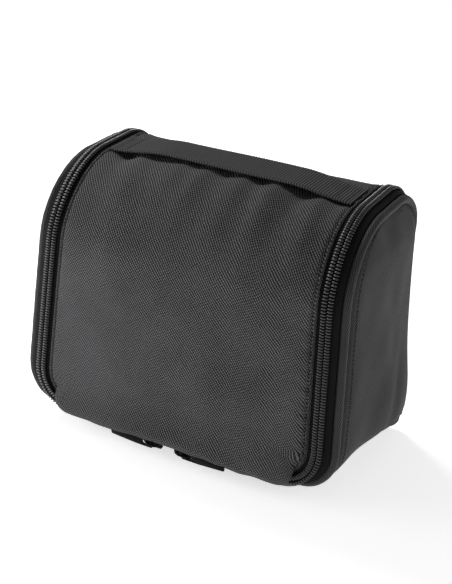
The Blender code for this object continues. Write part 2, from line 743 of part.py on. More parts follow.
def make_hook(wrap, lining_low, skins):
    """Webbing tab sewn to the lining, and a plastic hook whose top bar turns in its loop."""
    loop = HOOK_BAR_RADIUS + 0.0005 + TAB_THICK / 2
    offset = loop + TAB_THICK / 2 + SEAM_GAP + HOOK_CLEAR
    pivot = Vector((0, lining_face(wrap, lining_low, HOOK_PIVOT_Z) + offset, HOOK_PIVOT_Z))
    line = []
    for rise in (TAB_TAIL, TAB_TAIL * 0.6, TAB_TAIL * 0.3):
        face = lining_face(wrap, lining_low, HOOK_PIVOT_Z + rise)
        line.append((face + TAB_THICK / 2 + SEAM_GAP - pivot.y, rise))
    line.append((-loop, 0.002))
    for k in range(9):
        angle = math.pi + (math.pi * 1.72) * k / 8
        line.append((loop * math.cos(angle), loop * math.sin(angle)))
    ring = ribbon(line, TAB_THICK)
    rings = [[(x, pivot.y + y, pivot.z + z) for y, z in ring] for x in (-TAB_WIDTH / 2, TAB_WIDTH / 2)]
    loft("hook_tab", rings, skins["webbing"])
    frame_z = -0.0085
    reach = HOOK_FRAME_HALF
    parts = [
        ([(-reach, 0), (reach, 0)], HOOK_BAR_RADIUS),
        ([(-reach, 0.0012), (-reach, frame_z)], HOOK_BAR_RADIUS),
        ([(reach, 0.0012), (reach, frame_z)], HOOK_BAR_RADIUS),
        ([(-reach - 0.0012, frame_z), (reach + 0.0012, frame_z)], HOOK_BAR_RADIUS + 0.0002),
    ]
    bow = HOOK_BOW_RADIUS
    shank_end = frame_z - HOOK_SHANK
    path = [(0, frame_z), (0, shank_end)]
    centre_z = shank_end - bow * 0.94
    for k in range(13):
        angle = math.radians(70 - 250 * k / 12)
        path.append((bow * math.cos(angle), centre_z + bow * math.sin(angle)))
    parts.append((path, HOOK_WIRE_RADIUS))
    body = None
    for points, radius in parts:
        line = [Vector((x, 0, z)) for x, z in points]
        piece = tube("hook" if body is None else "piece", line, radius, 10, skins["plastic"])
        if body is None:
            body = piece
        else:
            combine(body, piece, "UNION")
    body.location = pivot
    return pivot


def ribbon(line, thick):
    """Closed outline of a strip of even thickness along a flat line."""
    points = [np.array(p, float) for p in line]
    left, right = [], []
    for i, point in enumerate(points):
        way = unit(points[min(i + 1, len(points) - 1)] - points[max(i - 1, 0)])
        normal = np.array((-way[1], way[0])) * thick / 2
        left.append(tuple(point + normal))
        right.append(tuple(point - normal))
    return left + right[::-1]


def main():
    clear_scene()
    skins = {
        "front_fabric": material("front_fabric", (0.035, 0.035, 0.037), 0.75),
        "gusset_fabric": material("gusset_fabric", (0.030, 0.030, 0.032), 0.72),
        "lining_fabric": material("lining_fabric", (0.060, 0.062, 0.068), 0.60),
        "foam": material("foam", (0.20, 0.20, 0.21), 0.95),
        "mesh": material("mesh", (0.050, 0.050, 0.055), 0.80),
        "elastic": material("elastic", (0.030, 0.030, 0.033), 0.80),
        "piping": material("piping", (0.040, 0.040, 0.042), 0.70),
        "tape": material("tape", (0.018, 0.018, 0.020), 0.80),
        "coil": material("coil", (0.030, 0.030, 0.032), 0.40),
        "webbing": material("webbing", (0.030, 0.030, 0.032), 0.70),
        "plastic": material("plastic", (0.020, 0.020, 0.022), 0.40),
        "slider_metal": material("slider_metal", (0.012, 0.012, 0.013), 0.22, 1.0),
    }
    wrap = Wrap()
    make_band(wrap, skins)
    make_piping(wrap, skins["piping"])
    make_back(wrap, skins)
    lining_low = make_flap(wrap, skins)
    make_zip(wrap, skins)
    frame = zip_frame(wrap)
    for side, word in ((-1, "left"), (1, "right")):
        pivot = make_slider(side, "slider_" + word, frame, skins["slider_metal"])
        make_puller(side, "puller_" + word, frame, pivot, skins["slider_metal"])
        print("puller pivot", word, [round(v, 5) for v in pivot])
    make_handle(wrap, skins["webbing"])
    pivot = make_hook(wrap, lining_low, skins)
    print("hook pivot", [round(v, 5) for v in pivot])
    print("fold axis", [round(float(v), 5) for v in wrap.at(wrap.fold, FOLD_RISE)])
    print("zip frame", [[round(v, 5) for v in row] for row in frame])


main()
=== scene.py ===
"""Looks of the hanging toiletry bag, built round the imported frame.

Lengths are metres, in the frame's own axes. The bag's front, top and back are one wrap of cloth.
A place on the wrap is (x, s, n): x across the bag, s the length along its side-view curve from
under the front edge, and n the height above that curve, outwards.
"""

import math

import bpy
import numpy as np
from mathutils import Matrix, Vector


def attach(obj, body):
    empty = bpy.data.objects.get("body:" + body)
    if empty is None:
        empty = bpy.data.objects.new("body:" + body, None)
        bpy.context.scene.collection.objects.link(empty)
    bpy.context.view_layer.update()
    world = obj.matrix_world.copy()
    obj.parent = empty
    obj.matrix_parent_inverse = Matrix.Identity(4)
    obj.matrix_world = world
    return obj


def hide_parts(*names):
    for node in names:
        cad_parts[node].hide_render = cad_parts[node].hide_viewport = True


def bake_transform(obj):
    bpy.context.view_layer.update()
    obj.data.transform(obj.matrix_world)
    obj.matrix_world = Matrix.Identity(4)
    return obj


# The wrap curve and the seams, the same as in the CAD.
FRONT_FOOT_Y = -0.0644
FRONT_LEAN = 0.0085
BACK_Y = 0.0643
BOTTOM_Z = -0.00105
TOP_Z = 0.1883
WRAP_RADII = (0.020, 0.0543, 0.0373, 0.009)
PIPING_HALF_WIDTH = 0.117
TAPER = 0.0094
TAPER_HEIGHT = 0.176
CORNER_FRONT = 0.0466
CORNER_BACK = 0.0165
PIPING_S = 0.0074
PIPING_S_BACK = 0.0016
PIPING_DROP = 0.00425
PIPING_RADIUS = 0.0029
ZIP_INSET = 0.0101
ZIP_LIFT = 0.0097
LIFT_FADE = 3
FOLD_ANGLE = math.radians(55)
PANEL_EDGE = 0.0064
SHELL_HEIGHT = 0.00275
FRONT_BULGE = 0.0040
HANDLE_FRONT_Y = -0.0085
HANDLE_WIDTH = 0.0300
HANDLE_END = 0.0880
HANDLE_RISE = 0.0046
HANDLE_SINK = 0.0024
SLIDER_START = 0.0048
SLIDER_LENGTH = 0.0140
SLIDER_LOW = 0.0036
SLIDER_TOP = SLIDER_LOW + 0.0014
SLIDER_MIDDLE = SLIDER_START + SLIDER_LENGTH / 2
BAIL_Y = -0.0028
PULLER_LENGTH = 0.0320
HOOK_PIVOT = (0, -0.05834, 0.0740)
WEBBING_RIB = 0.0019
TAPE_HALF = 0.00035
FOLD_REACH = 0.012           # cloth each side of the fold that bends
BASE_SEAM_TURN = math.radians(40)
BASE_SEAM_GAP = math.radians(0.4)
FLAP_POCKET_HALF_WIDTH = 0.0795
BACK_POCKET_HALF_WIDTH = 0.0875
BACK_POCKET_HEIGHT = -0.0041

# Camera.
CAMERA_SIDE = math.radians(26.17)
CAMERA_UP = math.radians(25.18)
CAMERA_ROLL = math.radians(4.03)
CAMERA_TARGET = (-0.0031, 0.0109, 0.0957)
CAMERA_DISTANCE = 0.8672
CAMERA_LENS = 77.12

# A white table lit from within, in a pale room.
WORLD_LIGHT = 0.20
FLOOR_GLOW = 0.66

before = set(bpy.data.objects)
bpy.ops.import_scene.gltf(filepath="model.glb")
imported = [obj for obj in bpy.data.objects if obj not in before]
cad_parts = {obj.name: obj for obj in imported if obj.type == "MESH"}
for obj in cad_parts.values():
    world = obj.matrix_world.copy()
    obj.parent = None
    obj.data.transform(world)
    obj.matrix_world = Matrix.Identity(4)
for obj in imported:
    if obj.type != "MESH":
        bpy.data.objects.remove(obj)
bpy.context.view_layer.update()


def add_camera():
    back = Vector((math.sin(CAMERA_SIDE) * math.cos(CAMERA_UP),
                   -math.cos(CAMERA_SIDE) * math.cos(CAMERA_UP), math.sin(CAMERA_UP)))
    right = Vector((math.cos(CAMERA_SIDE), math.sin(CAMERA_SIDE), 0))
    up = back.cross(right)
    cosine, sine = math.cos(CAMERA_ROLL), math.sin(CAMERA_ROLL)
    right, up = right * cosine + up * sine, up * cosine - right * sine
    data = bpy.data.cameras.new("camera")
    data.lens = CAMERA_LENS
    data.sensor_width = 36
    data.clip_start, data.clip_end = 0.05, 50
    camera = bpy.data.objects.new("camera", data)
    bpy.context.scene.collection.objects.link(camera)
    place = Matrix.Identity(4)
    for i, axis in enumerate((right, up, back, Vector(CAMERA_TARGET) + back * CAMERA_DISTANCE)):
        place.col[i][:3] = axis
    camera.matrix_world = place
    bpy.context.scene.camera = camera


def add_light(name, place, aim, size, power):
    data = bpy.data.lights.new(name, "AREA")
    data.energy = power
    data.size = size
    light = bpy.data.objects.new(name, data)
    bpy.context.scene.collection.objects.link(light)
    light.location = place
    light.rotation_mode = "QUATERNION"
    light.rotation_quaternion = (Vector(aim) - Vector(place)).to_track_quat("-Z", "Y")


def add_studio():
    scene = bpy.context.scene
    scene.view_settings.view_transform = "Standard"
    world = bpy.data.worlds.new("studio")
    scene.world = world
    world.use_nodes = True
    world.node_tree.nodes["Background"].inputs[0].default_value = (1, 1, 1, 1)
    world.node_tree.nodes["Background"].inputs[1].default_value = WORLD_LIGHT
    bag = (0, 0, 0.09)
    add_light("key", (-0.80, 0.45, 1.25), bag, 0.5, 13)
    add_light("front_left", (-1.3, -1.1, 0.55), bag, 1.1, 1.5)
    add_light("near_left", (-0.34, -0.24, 0.12), (-0.08, -0.05, 0.06), 0.28, 0.85)
    add_light("right", (1.2, -0.3, 0.8), bag, 0.9, 2.5)
    mesh = bpy.data.meshes.new("floor")
    size = 12.0
    corners = [(-size, -size, 0), (size, -size, 0), (size, size, 0), (-size, size, 0)]
    mesh.from_pydata(corners, [], [(0, 1, 2, 3)])
    floor = bpy.data.objects.new("floor", mesh)
    scene.collection.objects.link(floor)
    skin = Skin("floor", (0.93, 0.93, 0.93), 0.85)
    speck = skin.noise(skin.object_place(), 60.0, 2.0)
    skin.colour(skin.ramp(speck, (0.91, 0.91, 0.91), (0.95, 0.95, 0.95)))
    skin.set("Emission Color", (1, 1, 1, 1))
    skin.set("Emission Strength", FLOOR_GLOW)
    mesh.materials.append(skin.material)



class Skin:
    """A node material: short calls add nodes and return their output sockets."""

    def __init__(self, name, colour, rough, metal=0.0, sheen=0.0, coat=0.0, gloss=0.3):
        self.material = bpy.data.materials.new(name)
        self.material.use_nodes = True
        self.tree = self.material.node_tree
        self.shader = self.tree.nodes["Principled BSDF"]
        self.set("Base Color", (*colour, 1))
        self.set("Roughness", rough)
        self.set("Metallic", metal)
        self.set("Sheen Weight", sheen)
        self.set("Sheen Roughness", 0.4)
        self.set("Coat Weight", coat)
        self.set("Specular IOR Level", gloss)

    def set(self, name, value):
        self.shader.inputs[name].default_value = value

    def node(self, kind, **values):
        node = self.tree.nodes.new(kind)
        for name, value in values.items():
            setattr(node, name, value)
        return node

    def link(self, value, socket):
        if isinstance(value, bpy.types.NodeSocket):
            self.tree.links.new(value, socket)
        elif isinstance(value, (tuple, list)):
            socket.default_value = (*value, 1) if len(socket.default_value) == 4 else value
        else:
            socket.default_value = value

    def cloth_place(self):
        """(along x, along s) in metres, from the cloth's own map."""
        split = self.node("ShaderNodeSeparateXYZ")
        self.link(self.node("ShaderNodeUVMap", uv_map="cloth").outputs[0], split.inputs[0])
        return split.outputs[0], split.outputs[1]

    def object_place(self):
        return self.node("ShaderNodeTexCoord").outputs["Object"]

    def math(self, kind, a, b=0.0):
        node = self.node("ShaderNodeMath", operation=kind)
        self.link(a, node.inputs[0])
        self.link(b, node.inputs[1])
        return node.outputs[0]

    def wave(self, value, pitch):
        """Smooth wave from 0 to 1 along value, one crest every pitch."""
        turn = self.math("MULTIPLY", value, 2 * math.pi / pitch)
        return self.math("ADD", self.math("MULTIPLY", self.math("SINE", turn), 0.5), 0.5)

    def noise(self, place, scale, detail=3.0):
        node = self.node("ShaderNodeTexNoise")
        self.link(place, node.inputs["Vector"])
        self.link(scale, node.inputs["Scale"])
        self.link(detail, node.inputs["Detail"])
        return node.outputs[0]

    def ramp(self, value, low, high, start=0.0, end=1.0):
        node = self.node("ShaderNodeValToRGB")
        self.link(value, node.inputs[0])
        node.color_ramp.elements[0].position = start
        node.color_ramp.elements[1].position = end
        node.color_ramp.elements[0].color = (*low, 1)
        node.color_ramp.elements[1].color = (*high, 1)
        return node.outputs[0]

    def stretch(self, value, low, high):
        node = self.node("ShaderNodeMapRange")
        self.link(value, node.inputs[0])
        self.link(low, node.inputs[3])
        self.link(high, node.inputs[4])
        return node.outputs[0]

    def colour(self, value):
        self.link(value, self.shader.inputs["Base Color"])

    def rough(self, value):
        self.link(value, self.shader.inputs["Roughness"])

    def bump(self, height, depth, strength=1.0):
        node = self.node("ShaderNodeBump")
        self.link(height, node.inputs["Height"])
        node.inputs["Distance"].default_value = depth
        node.inputs["Strength"].default_value = strength
        self.link(node.outputs[0], self.shader.inputs["Normal"])


def twill(name, low, high, pitch, lean, thread, depth, rough, sheen, patch=0.18):
    """Twill cloth: slanting ribs cut into short floats by the crossing threads."""
    skin = Skin(name, high, rough, sheen=sheen, gloss=0.22)
    x, s = skin.cloth_place()
    slant = skin.math("ADD", skin.math("MULTIPLY", x, math.sin(lean)),
                      skin.math("MULTIPLY", s, math.cos(lean)))
    along = skin.math("SUBTRACT", skin.math("MULTIPLY", x, math.cos(lean)),
                      skin.math("MULTIPLY", s, math.sin(lean)))
    wobble = skin.noise(skin.object_place(), 160.0, 2.0)
    slant = skin.math("ADD", slant, skin.math("MULTIPLY", wobble, pitch * 0.7))
    along = skin.math("ADD", along, skin.math("MULTIPLY", wobble, thread * 1.5))
    ribs = skin.wave(slant, pitch)
    floats = skin.wave(along, thread)
    weave = skin.math("MULTIPLY", ribs, skin.math("ADD", skin.math("MULTIPLY", floats, 0.6), 0.4))
    fuzz = skin.noise(skin.object_place(), 1400.0, 2.0)
    weave = skin.math("ADD", weave, skin.math("MULTIPLY", skin.math("SUBTRACT", fuzz, 0.5), 0.25))
    cloud = skin.noise(skin.object_place(), 22.0, 3.0)
    patches = skin.math("MULTIPLY", skin.math("SUBTRACT", cloud, 0.5), patch * 4)
    shade = skin.math("ADD", weave, patches)
    skin.colour(skin.ramp(shade, low, high, 0.10, 1.0))
    skin.rough(skin.stretch(weave, rough + 0.12, rough - 0.08))
    skin.bump(weave, depth)
    return skin.material


def grey(level):
    return (level, level, level * 1.04)


def grained(name, level, rough, scale, detail, shades, depth, polish=None, **more):
    """Plain matter: a fine noise varies its shade, its surface and, with polish, its gloss."""
    skin = Skin(name, grey(level), rough, **more)
    grain = skin.noise(skin.object_place(), scale, detail)
    skin.colour(skin.ramp(grain, grey(shades[0]), grey(shades[1])))
    if polish:
        skin.rough(skin.stretch(grain, *polish))
    skin.bump(grain, depth)
    return skin.material


def tape_skin():
    skin = Skin("zip_tape", grey(0.008), 0.75, gloss=0.1)
    x, s = skin.cloth_place()
    rows = skin.math("MULTIPLY", skin.wave(x, 0.0009), skin.wave(s, 0.0007))
    skin.colour(skin.ramp(rows, grey(0.003), grey(0.013)))
    skin.bump(rows, 0.00006)
    return skin.material


def webbing_skin():
    skin = Skin("webbing", grey(0.03), 0.60, sheen=0.05)
    x, y = skin.cloth_place()
    warp = skin.wave(y, 0.0011)
    wander = skin.math("MULTIPLY", skin.noise(skin.object_place(), 120.0), 0.0004)
    weft = skin.wave(skin.math("ADD", x, wander), WEBBING_RIB)
    both = skin.math("ADD", skin.math("MULTIPLY", weft, 0.7), skin.math("MULTIPLY", warp, 0.3))
    skin.colour(skin.ramp(both, grey(0.001), grey(0.110), 0.25, 0.95))
    skin.rough(skin.stretch(both, 0.9, 0.6))
    skin.bump(both, 0.00022)
    return skin.material


def lining_skin():
    skin = Skin("lining_nylon", grey(0.06), 0.55, sheen=0.05)
    x, s = skin.cloth_place()
    plain = skin.math("MULTIPLY", skin.wave(x, 0.0008), skin.wave(s, 0.0008))
    soft = skin.noise(skin.object_place(), 35.0, 3.0)
    shade = skin.math("ADD", skin.math("MULTIPLY", plain, 0.4), skin.math("MULTIPLY", soft, 0.6))
    skin.colour(skin.ramp(shade, grey(0.045), grey(0.080)))
    skin.rough(skin.stretch(plain, 0.62, 0.48))
    skin.bump(plain, 0.00005)
    return skin.material


def elastic_skin():
    skin = Skin("elastic", grey(0.03), 0.7)
    x, s = skin.cloth_place()
    ribs = skin.math("MULTIPLY", skin.wave(s, 0.0016), skin.wave(x, 0.0010))
    skin.colour(skin.ramp(ribs, grey(0.016), grey(0.050)))
    skin.bump(ribs, 0.00015)
    return skin.material


def make_skins():
    skins = {}
    skins["front"] = twill("front_twill", grey(0.002), grey(0.170), 0.00155, math.radians(52),
                           0.0016, 0.00034, 0.62, 0.03, 0.10)
    skins["gusset"] = twill("gusset_twill", grey(0.006), grey(0.105), 0.0011, math.radians(48),
                            0.0010, 0.00022, 0.66, 0.04, 0.10)
    skins["piping"] = twill("piping_twill", grey(0.006), grey(0.080), 0.0011, math.radians(25),
                            0.0009, 0.00014, 0.55, 0.05, 0.08)

    skins["tape"] = tape_skin()
    skins["coil"] = grained("zip_coil", 0.012, 0.20, 900.0, 2.0, (0.008, 0.022), 0.00003,
                            (0.22, 0.38), coat=0.5, gloss=0.6)
    skins["webbing"] = webbing_skin()
    skins["lining"] = lining_skin()
    skins["mesh"] = grained("pocket_mesh", 0.05, 0.6, 1500.0, 2.0, (0.035, 0.070), 0.00004)
    skins["elastic"] = elastic_skin()
    skins["thread"] = grained("thread", 0.010, 0.60, 2500.0, 1.0, (0.003, 0.014), 0.00003,
                              gloss=0.1)
    skins["enamel"] = grained("slider_enamel", 0.004, 0.30, 420.0, 4.0, (0.002, 0.006), 0.00002,
                              (0.24, 0.36), gloss=0.04)
    skins["acetal"] = grained("hook_acetal", 0.018, 0.42, 1100.0, 3.0, (0.014, 0.026), 0.00003,
                              (0.36, 0.50))
    skins["foam"] = grained("foam", 0.2, 0.9, 700.0, 4.0, (0.14, 0.26), 0.0002)
    return skins


# --- The wrap ---------------------------------------------------------------------------------

def ease(value):
    value = np.clip(value, 0.0, 1.0)
    return value * value * (3 - 2 * value)


def unit(vector):
    return vector / np.linalg.norm(vector)


def wrap_table():
    """Samples of the side-view curve, and the lengths of its landmarks."""
    corners = [np.array(c) for c in (
        (FRONT_FOOT_Y, BOTTOM_Z), (FRONT_FOOT_Y + FRONT_LEAN, TOP_Z), (BACK_Y, TOP_Z),
        (BACK_Y, BOTTOM_Z))]
    stops = [np.array((0.0, BOTTOM_Z)), *corners, np.array((0.001, BOTTOM_Z))]
    step = 0.0002
    rows, marks, length, point = [], [], 0.0, stops[0]
    for before, corner, after, radius in zip(stops, stops[1:], stops[2:], WRAP_RADII):
        back, on = unit(before - corner), unit(after - corner)
        half = math.acos(back @ on) / 2
        enter = corner + back * radius / math.tan(half)
        way = unit(enter - point)
        run = np.linalg.norm(enter - point)
        for d in np.arange(0, run, step):
            rows.append((length + d, *(point + way * d), -way[1], way[0]))
        length += run
        marks.append(length)
        centre = corner + unit(back + on) * radius / math.sin(half)
        first = math.atan2(*(enter - centre)[::-1])
        turn = math.pi - 2 * half
        for d in np.arange(0, radius * turn, step):
            angle = first - d / radius
            spoke = np.array((math.cos(angle), math.sin(angle)))
            rows.append((length + d, *(centre + spoke * radius), *spoke))
        length += radius * turn
        point = corner + on * radius / math.tan(half)
    rows.append((length, *point, 0.0, -1.0))
    table = np.array(rows)
    table[:, 0] -= marks[0]
    return table, marks[2] - marks[0] + WRAP_RADII[2] * FOLD_ANGLE, length - marks[0]


WRAP, FOLD_S, FOOT_BACK_S = wrap_table()


def on_wrap(x, s, n=0.0):
    """Points in the frame for places on the wrap."""
    x, s, n = np.broadcast_arrays(np.asarray(x, float), s, n)
    y, z, out_y, out_z = (np.interp(s, WRAP[:, 0], WRAP[:, k]) for k in (1, 2, 3, 4))
    return np.stack([x, y + out_y * n, z + out_z * n], -1)


def half_width(z):
    return PIPING_HALF_WIDTH - TAPER * (z - 0.008) / TAPER_HEIGHT


CORNER_TOP = PIPING_S + CORNER_FRONT
CORNER_Z = float(on_wrap(0, CORNER_TOP)[2])
CENTRE_X = half_width(CORNER_Z) - CORNER_FRONT


def lift(inset):
    return ZIP_LIFT * min(inset / ZIP_INSET, 1.0)


def outline_x(s, inset):
    """Half width at length s of the outline that runs `inset` inside the front piping."""
    radius = CORNER_FRONT - inset
    share = np.linspace(0, 1, 600)
    drop = np.maximum.accumulate(radius * share - lift(inset) * share ** LIFT_FADE)
    drop += share * 1e-9
    found = np.interp(CORNER_TOP - s, drop, share)
    corner = CENTRE_X + radius * np.sqrt(1 - found ** 2)
    return np.where(s >= CORNER_TOP, half_width(on_wrap(0, s)[..., 2]) - inset, corner)


def inset_of(x, s):
    """How far inside the piping a place is, and its way out as (x, s)."""
    across = np.abs(x) - CENTRE_X
    down = CORNER_TOP - s
    share = np.ones_like(x)
    for _ in range(12):
        reach = np.hypot(np.maximum(across, 0), down + ZIP_LIFT * share ** LIFT_FADE)
        share = np.clip((down + ZIP_LIFT * share ** LIFT_FADE) / np.maximum(reach, 1e-9), 0, 1)
    corner = CORNER_FRONT - reach
    side = half_width(on_wrap(x, s)[..., 2]) - np.abs(x)
    above = s >= CORNER_TOP
    out_x = np.where(above, 1.0, np.sqrt(1 - share ** 2))
    out_s = np.where(above, 0.0, -share)
    return np.where(above, side, corner), out_x * np.sign(x), out_s


def zip_path(step, last=None, inset=ZIP_INSET):
    """Even stops along an outline, left end to right end: x, s, inward x, inward s."""
    last = FOLD_S - 0.0006 if last is None else last
    radius = CORNER_FRONT - inset
    turn = np.linspace(0, math.pi / 2, 160)
    drop = radius * np.cos(turn) - lift(inset) * np.cos(turn) ** LIFT_FADE
    base = np.linspace(0, CENTRE_X, 60)[:-1]
    rise = np.linspace(CORNER_TOP, last, 500)[1:]
    x = np.concatenate([base, CENTRE_X + radius * np.sin(turn),
                        half_width(on_wrap(0, rise)[:, 2]) - inset])
    s = np.concatenate([np.full(len(base), CORNER_TOP - drop[0]), CORNER_TOP - drop, rise])
    in_x = np.concatenate([base * 0, -np.sin(turn), rise * 0 - 1])
    in_s = np.concatenate([base * 0 + 1, np.cos(turn), rise * 0])
    both = np.array([np.concatenate([-x[:0:-1], x]), np.concatenate([s[:0:-1], s]),
                     np.concatenate([-in_x[:0:-1], in_x]), np.concatenate([in_s[:0:-1], in_s])])
    points = on_wrap(both[0], both[1])
    length = np.concatenate([[0], np.cumsum(np.linalg.norm(np.diff(points, axis=0), axis=1))])
    count = round(length[-1] / step)
    stops = np.linspace(0, length[-1], count + 1)
    return [np.interp(stops, length, row) for row in both], stops


def rail(path, towards, n, share=0.0):
    """Points beside the zip's centre line: towards the flap, at height n."""
    x, s, in_x, in_s = path
    return on_wrap(x + towards * in_x, s + towards * in_s - share * ZIP_LIFT * in_s ** LIFT_FADE, n)


# --- Mesh makers --------------------------------------------------------------------------------

def sag(points):
    """How the soft bag settles: its top sinks, and its front bottom corners tuck under."""
    x, y, z = points.T
    settled = points.copy()
    settled[:, 2] += ease((z - 0.07) / 0.11) * (-0.0019 + 0.010 * x + 0.023 * y)
    across, down = np.abs(x) - CENTRE_X, CORNER_Z - z
    reach = np.hypot(np.maximum(across, 0), down)
    turn = np.arctan2(np.maximum(across, 0), down)
    tuck = 0.0050 * ease((reach - 0.036) / 0.009) * ease((across + 0.020) / 0.030) \
        * ease((1.45 - turn) / 0.7) * ease((-0.015 - y) / 0.035)
    settled[:, 0] -= tuck * np.sin(turn) * np.sign(x)
    settled[:, 2] += tuck * np.cos(turn)
    return settled


def make_mesh(name, points, faces, skin, uv=None, sharp=40):
    """Closed mesh with outward faces, smooth shading and the cloth's own map."""
    mesh = bpy.data.meshes.new(name)
    mesh.from_pydata(sag(np.asarray(points, float)).tolist(), [], faces)
    if uv is not None:
        layer = mesh.uv_layers.new(name="cloth")
        corner = np.zeros(len(mesh.loops), np.int32)
        mesh.loops.foreach_get("vertex_index", corner)
        layer.data.foreach_set("uv", np.asarray(uv, np.float32)[corner].ravel())
    mesh.materials.append(skin)
    mesh.shade_smooth()
    mesh.set_sharp_from_angle(angle=math.radians(sharp))
    item = bpy.data.objects.new(name, mesh)
    bpy.context.scene.collection.objects.link(item)
    return item


def ride(item, body, slot, *nodes):
    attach(item, body)
    if nodes:
        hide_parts(*nodes)
    return item


def sheet_normals(grid):
    normals = np.cross(np.gradient(grid, axis=0), np.gradient(grid, axis=1))
    normals /= np.maximum(np.linalg.norm(normals, axis=2), 1e-12)[:, :, None]
    return normals


def quads(rows, columns, keep=None):
    cell = np.arange(rows * columns).reshape(rows, columns)
    made = np.stack([cell[:-1, :-1], cell[:-1, 1:], cell[1:, 1:], cell[1:, :-1]], -1)
    if keep is not None:
        made = made[keep]
    return made.reshape(-1, 4)


def cloth(name, grid, uv, thick, skin, flip=False, keep=None):
    """Closed sheet: the grid is its outer face, and its thickness goes inwards."""
    grid = np.asarray(grid, float)
    rows, columns = grid.shape[:2]
    normals = sheet_normals(grid) * (-1 if flip else 1)
    inner = grid - normals * thick
    outer = quads(rows, columns, keep)
    if flip:
        outer = outer[:, ::-1]
    total = rows * columns
    edges = {}
    for a, b in outer[:, [0, 1, 1, 2, 2, 3, 3, 0]].reshape(-1, 2).tolist():
        if (b, a) in edges:
            del edges[(b, a)]
        else:
            edges[(a, b)] = True
    rim = [(b, a, total + a, total + b) for a, b in edges]
    faces = outer.tolist() + (outer[:, ::-1] + total).tolist() + rim
    used = np.unique(np.array([i for face in faces for i in face]))
    remap = np.full(2 * total, -1)
    remap[used] = np.arange(len(used))
    faces = [tuple(int(remap[i]) for i in face) for face in faces]
    points = np.concatenate([grid.reshape(-1, 3), inner.reshape(-1, 3)])[used]
    place = np.asarray(uv, float).reshape(-1, 2)
    return make_mesh(name, points, faces, skin, np.concatenate([place, place])[used], sharp=50)


def sweep(name, rings, skin, sharp=40):
    """Closed body through rings of points, an array (stations, points round, 3)."""
    rings = np.asarray(rings, float)
    count, round_ = rings.shape[:2]
    cell = np.arange(count * round_).reshape(count, round_)
    nearby = np.roll(cell, -1, axis=1)
    faces = np.stack([cell[:-1], nearby[:-1], nearby[1:], cell[1:]], -1).reshape(-1, 4).tolist()
    faces.append(cell[0][::-1].tolist())
    faces.append(cell[-1].tolist())
    along = np.concatenate([[0], np.cumsum(np.linalg.norm(
        np.diff(rings.mean(axis=1), axis=0), axis=1))])
    girth = np.concatenate([[0], np.cumsum(np.linalg.norm(np.diff(rings[0], axis=0), axis=1))])
    uv = np.stack(np.broadcast_arrays(along[:, None], girth[None, :]), -1).reshape(-1, 2)
    item = make_mesh(name, rings.reshape(-1, 3), faces, skin, uv, sharp)
    if volume(item.data) < 0:
        item.data.flip_normals()
    return item


def volume(mesh):
    total = 0.0
    for face in mesh.polygons:
        a = mesh.vertices[face.vertices[0]].co
        for i in range(1, len(face.vertices) - 1):
            b = mesh.vertices[face.vertices[i]].co
            c = mesh.vertices[face.vertices[i + 1]].co
            total += a.dot(b.cross(c))
    return total


def tube_rings(line, radius, sides):
    """Rings of a round bar along a line of points."""
    line = np.asarray(line, float)
    way = np.gradient(line, axis=0)
    way /= np.linalg.norm(way, axis=1)[:, None]
    turned = np.cross(way[0], (0.31, 0.82, 0.47))
    turned /= np.linalg.norm(turned)
    angle = np.arange(sides) * 2 * math.pi / sides
    radius = np.broadcast_to(radius, (len(line),))
    rings = []
    for i, tangent in enumerate(way):
        turned = turned - tangent * (turned @ tangent)
        turned /= np.linalg.norm(turned)
        other = np.cross(tangent, turned)
        ring = line[i] + radius[i] * (np.cos(angle)[:, None] * turned
                                      + np.sin(angle)[:, None] * other)
        rings.append(ring)
    return np.array(rings)


def copies(name, shape, faces, places, skin):
    """One mesh of many copies of a small shape; places are (origin, x axis, y axis, z axis)."""
    shape = np.asarray(shape, float)
    points, all_faces = [], []
    for k, (origin, ax, ay, az) in enumerate(zip(*places)):
        points.append(origin + shape[:, :1] * ax + shape[:, 1:2] * ay + shape[:, 2:3] * az)
        all_faces += [tuple(i + k * len(shape) for i in face) for face in faces]
    return make_mesh(name, np.concatenate(points), all_faces, skin, sharp=60)


def bead(rings=5, sides=8, head=1.0):
    """Rounded bar of unit half lengths: long axis x, fatter at its +x end when head > 1."""
    angle = np.arange(sides) * 2 * math.pi / sides
    points, faces = [(-1, 0, 0)], []
    for k in range(1, rings):
        u = -math.cos(math.pi * k / rings)
        fat = (1 - abs(u) ** 2.6) ** 0.5 * (1 + (head - 1) * max(0.0, u))
        points += [(u, fat * math.cos(a), fat * math.sin(a)) for a in angle]
    points.append((1, 0, 0))
    last = len(points) - 1
    for j in range(sides):
        faces.append((0, 1 + (j + 1) % sides, 1 + j))
        faces.append((last, last - sides + j, last - sides + (j + 1) % sides))
    for k in range(rings - 2):
        a, b = 1 + k * sides, 1 + (k + 1) * sides
        faces += [(a + j, a + (j + 1) % sides, b + (j + 1) % sides, b + j) for j in range(sides)]
    return np.array(points, float), faces


def stitch_row(name, line, side, skin, length=0.0024, gap=0.0009, radius=0.00021):
    """Thread stitches lying along a line of points."""
    line = np.asarray(line, float)
    far = np.concatenate([[0], np.cumsum(np.linalg.norm(np.diff(line, axis=0), axis=1))])
    middles = np.arange(length, far[-1] - length, length + gap)
    points = np.stack([np.interp(middles, far, line[:, k]) for k in range(3)], -1)
    ahead = np.stack([np.interp(middles + 0.0002, far, line[:, k]) for k in range(3)], -1)
    way = ahead - points
    way /= np.linalg.norm(way, axis=1)[:, None]
    sides = np.stack([np.interp(middles, far, np.broadcast_to(side, line.shape)[:, k])
                      for k in range(3)], -1)
    up = np.cross(way, sides)
    up /= np.linalg.norm(up, axis=1)[:, None]
    shape, faces = bead(5, 6)
    places = (points, way * length / 2, np.cross(up, way) * radius * 1.5, up * radius)
    return copies(name, shape, faces, places, skin)


# --- The flap's panel ---------------------------------------------------------------------------

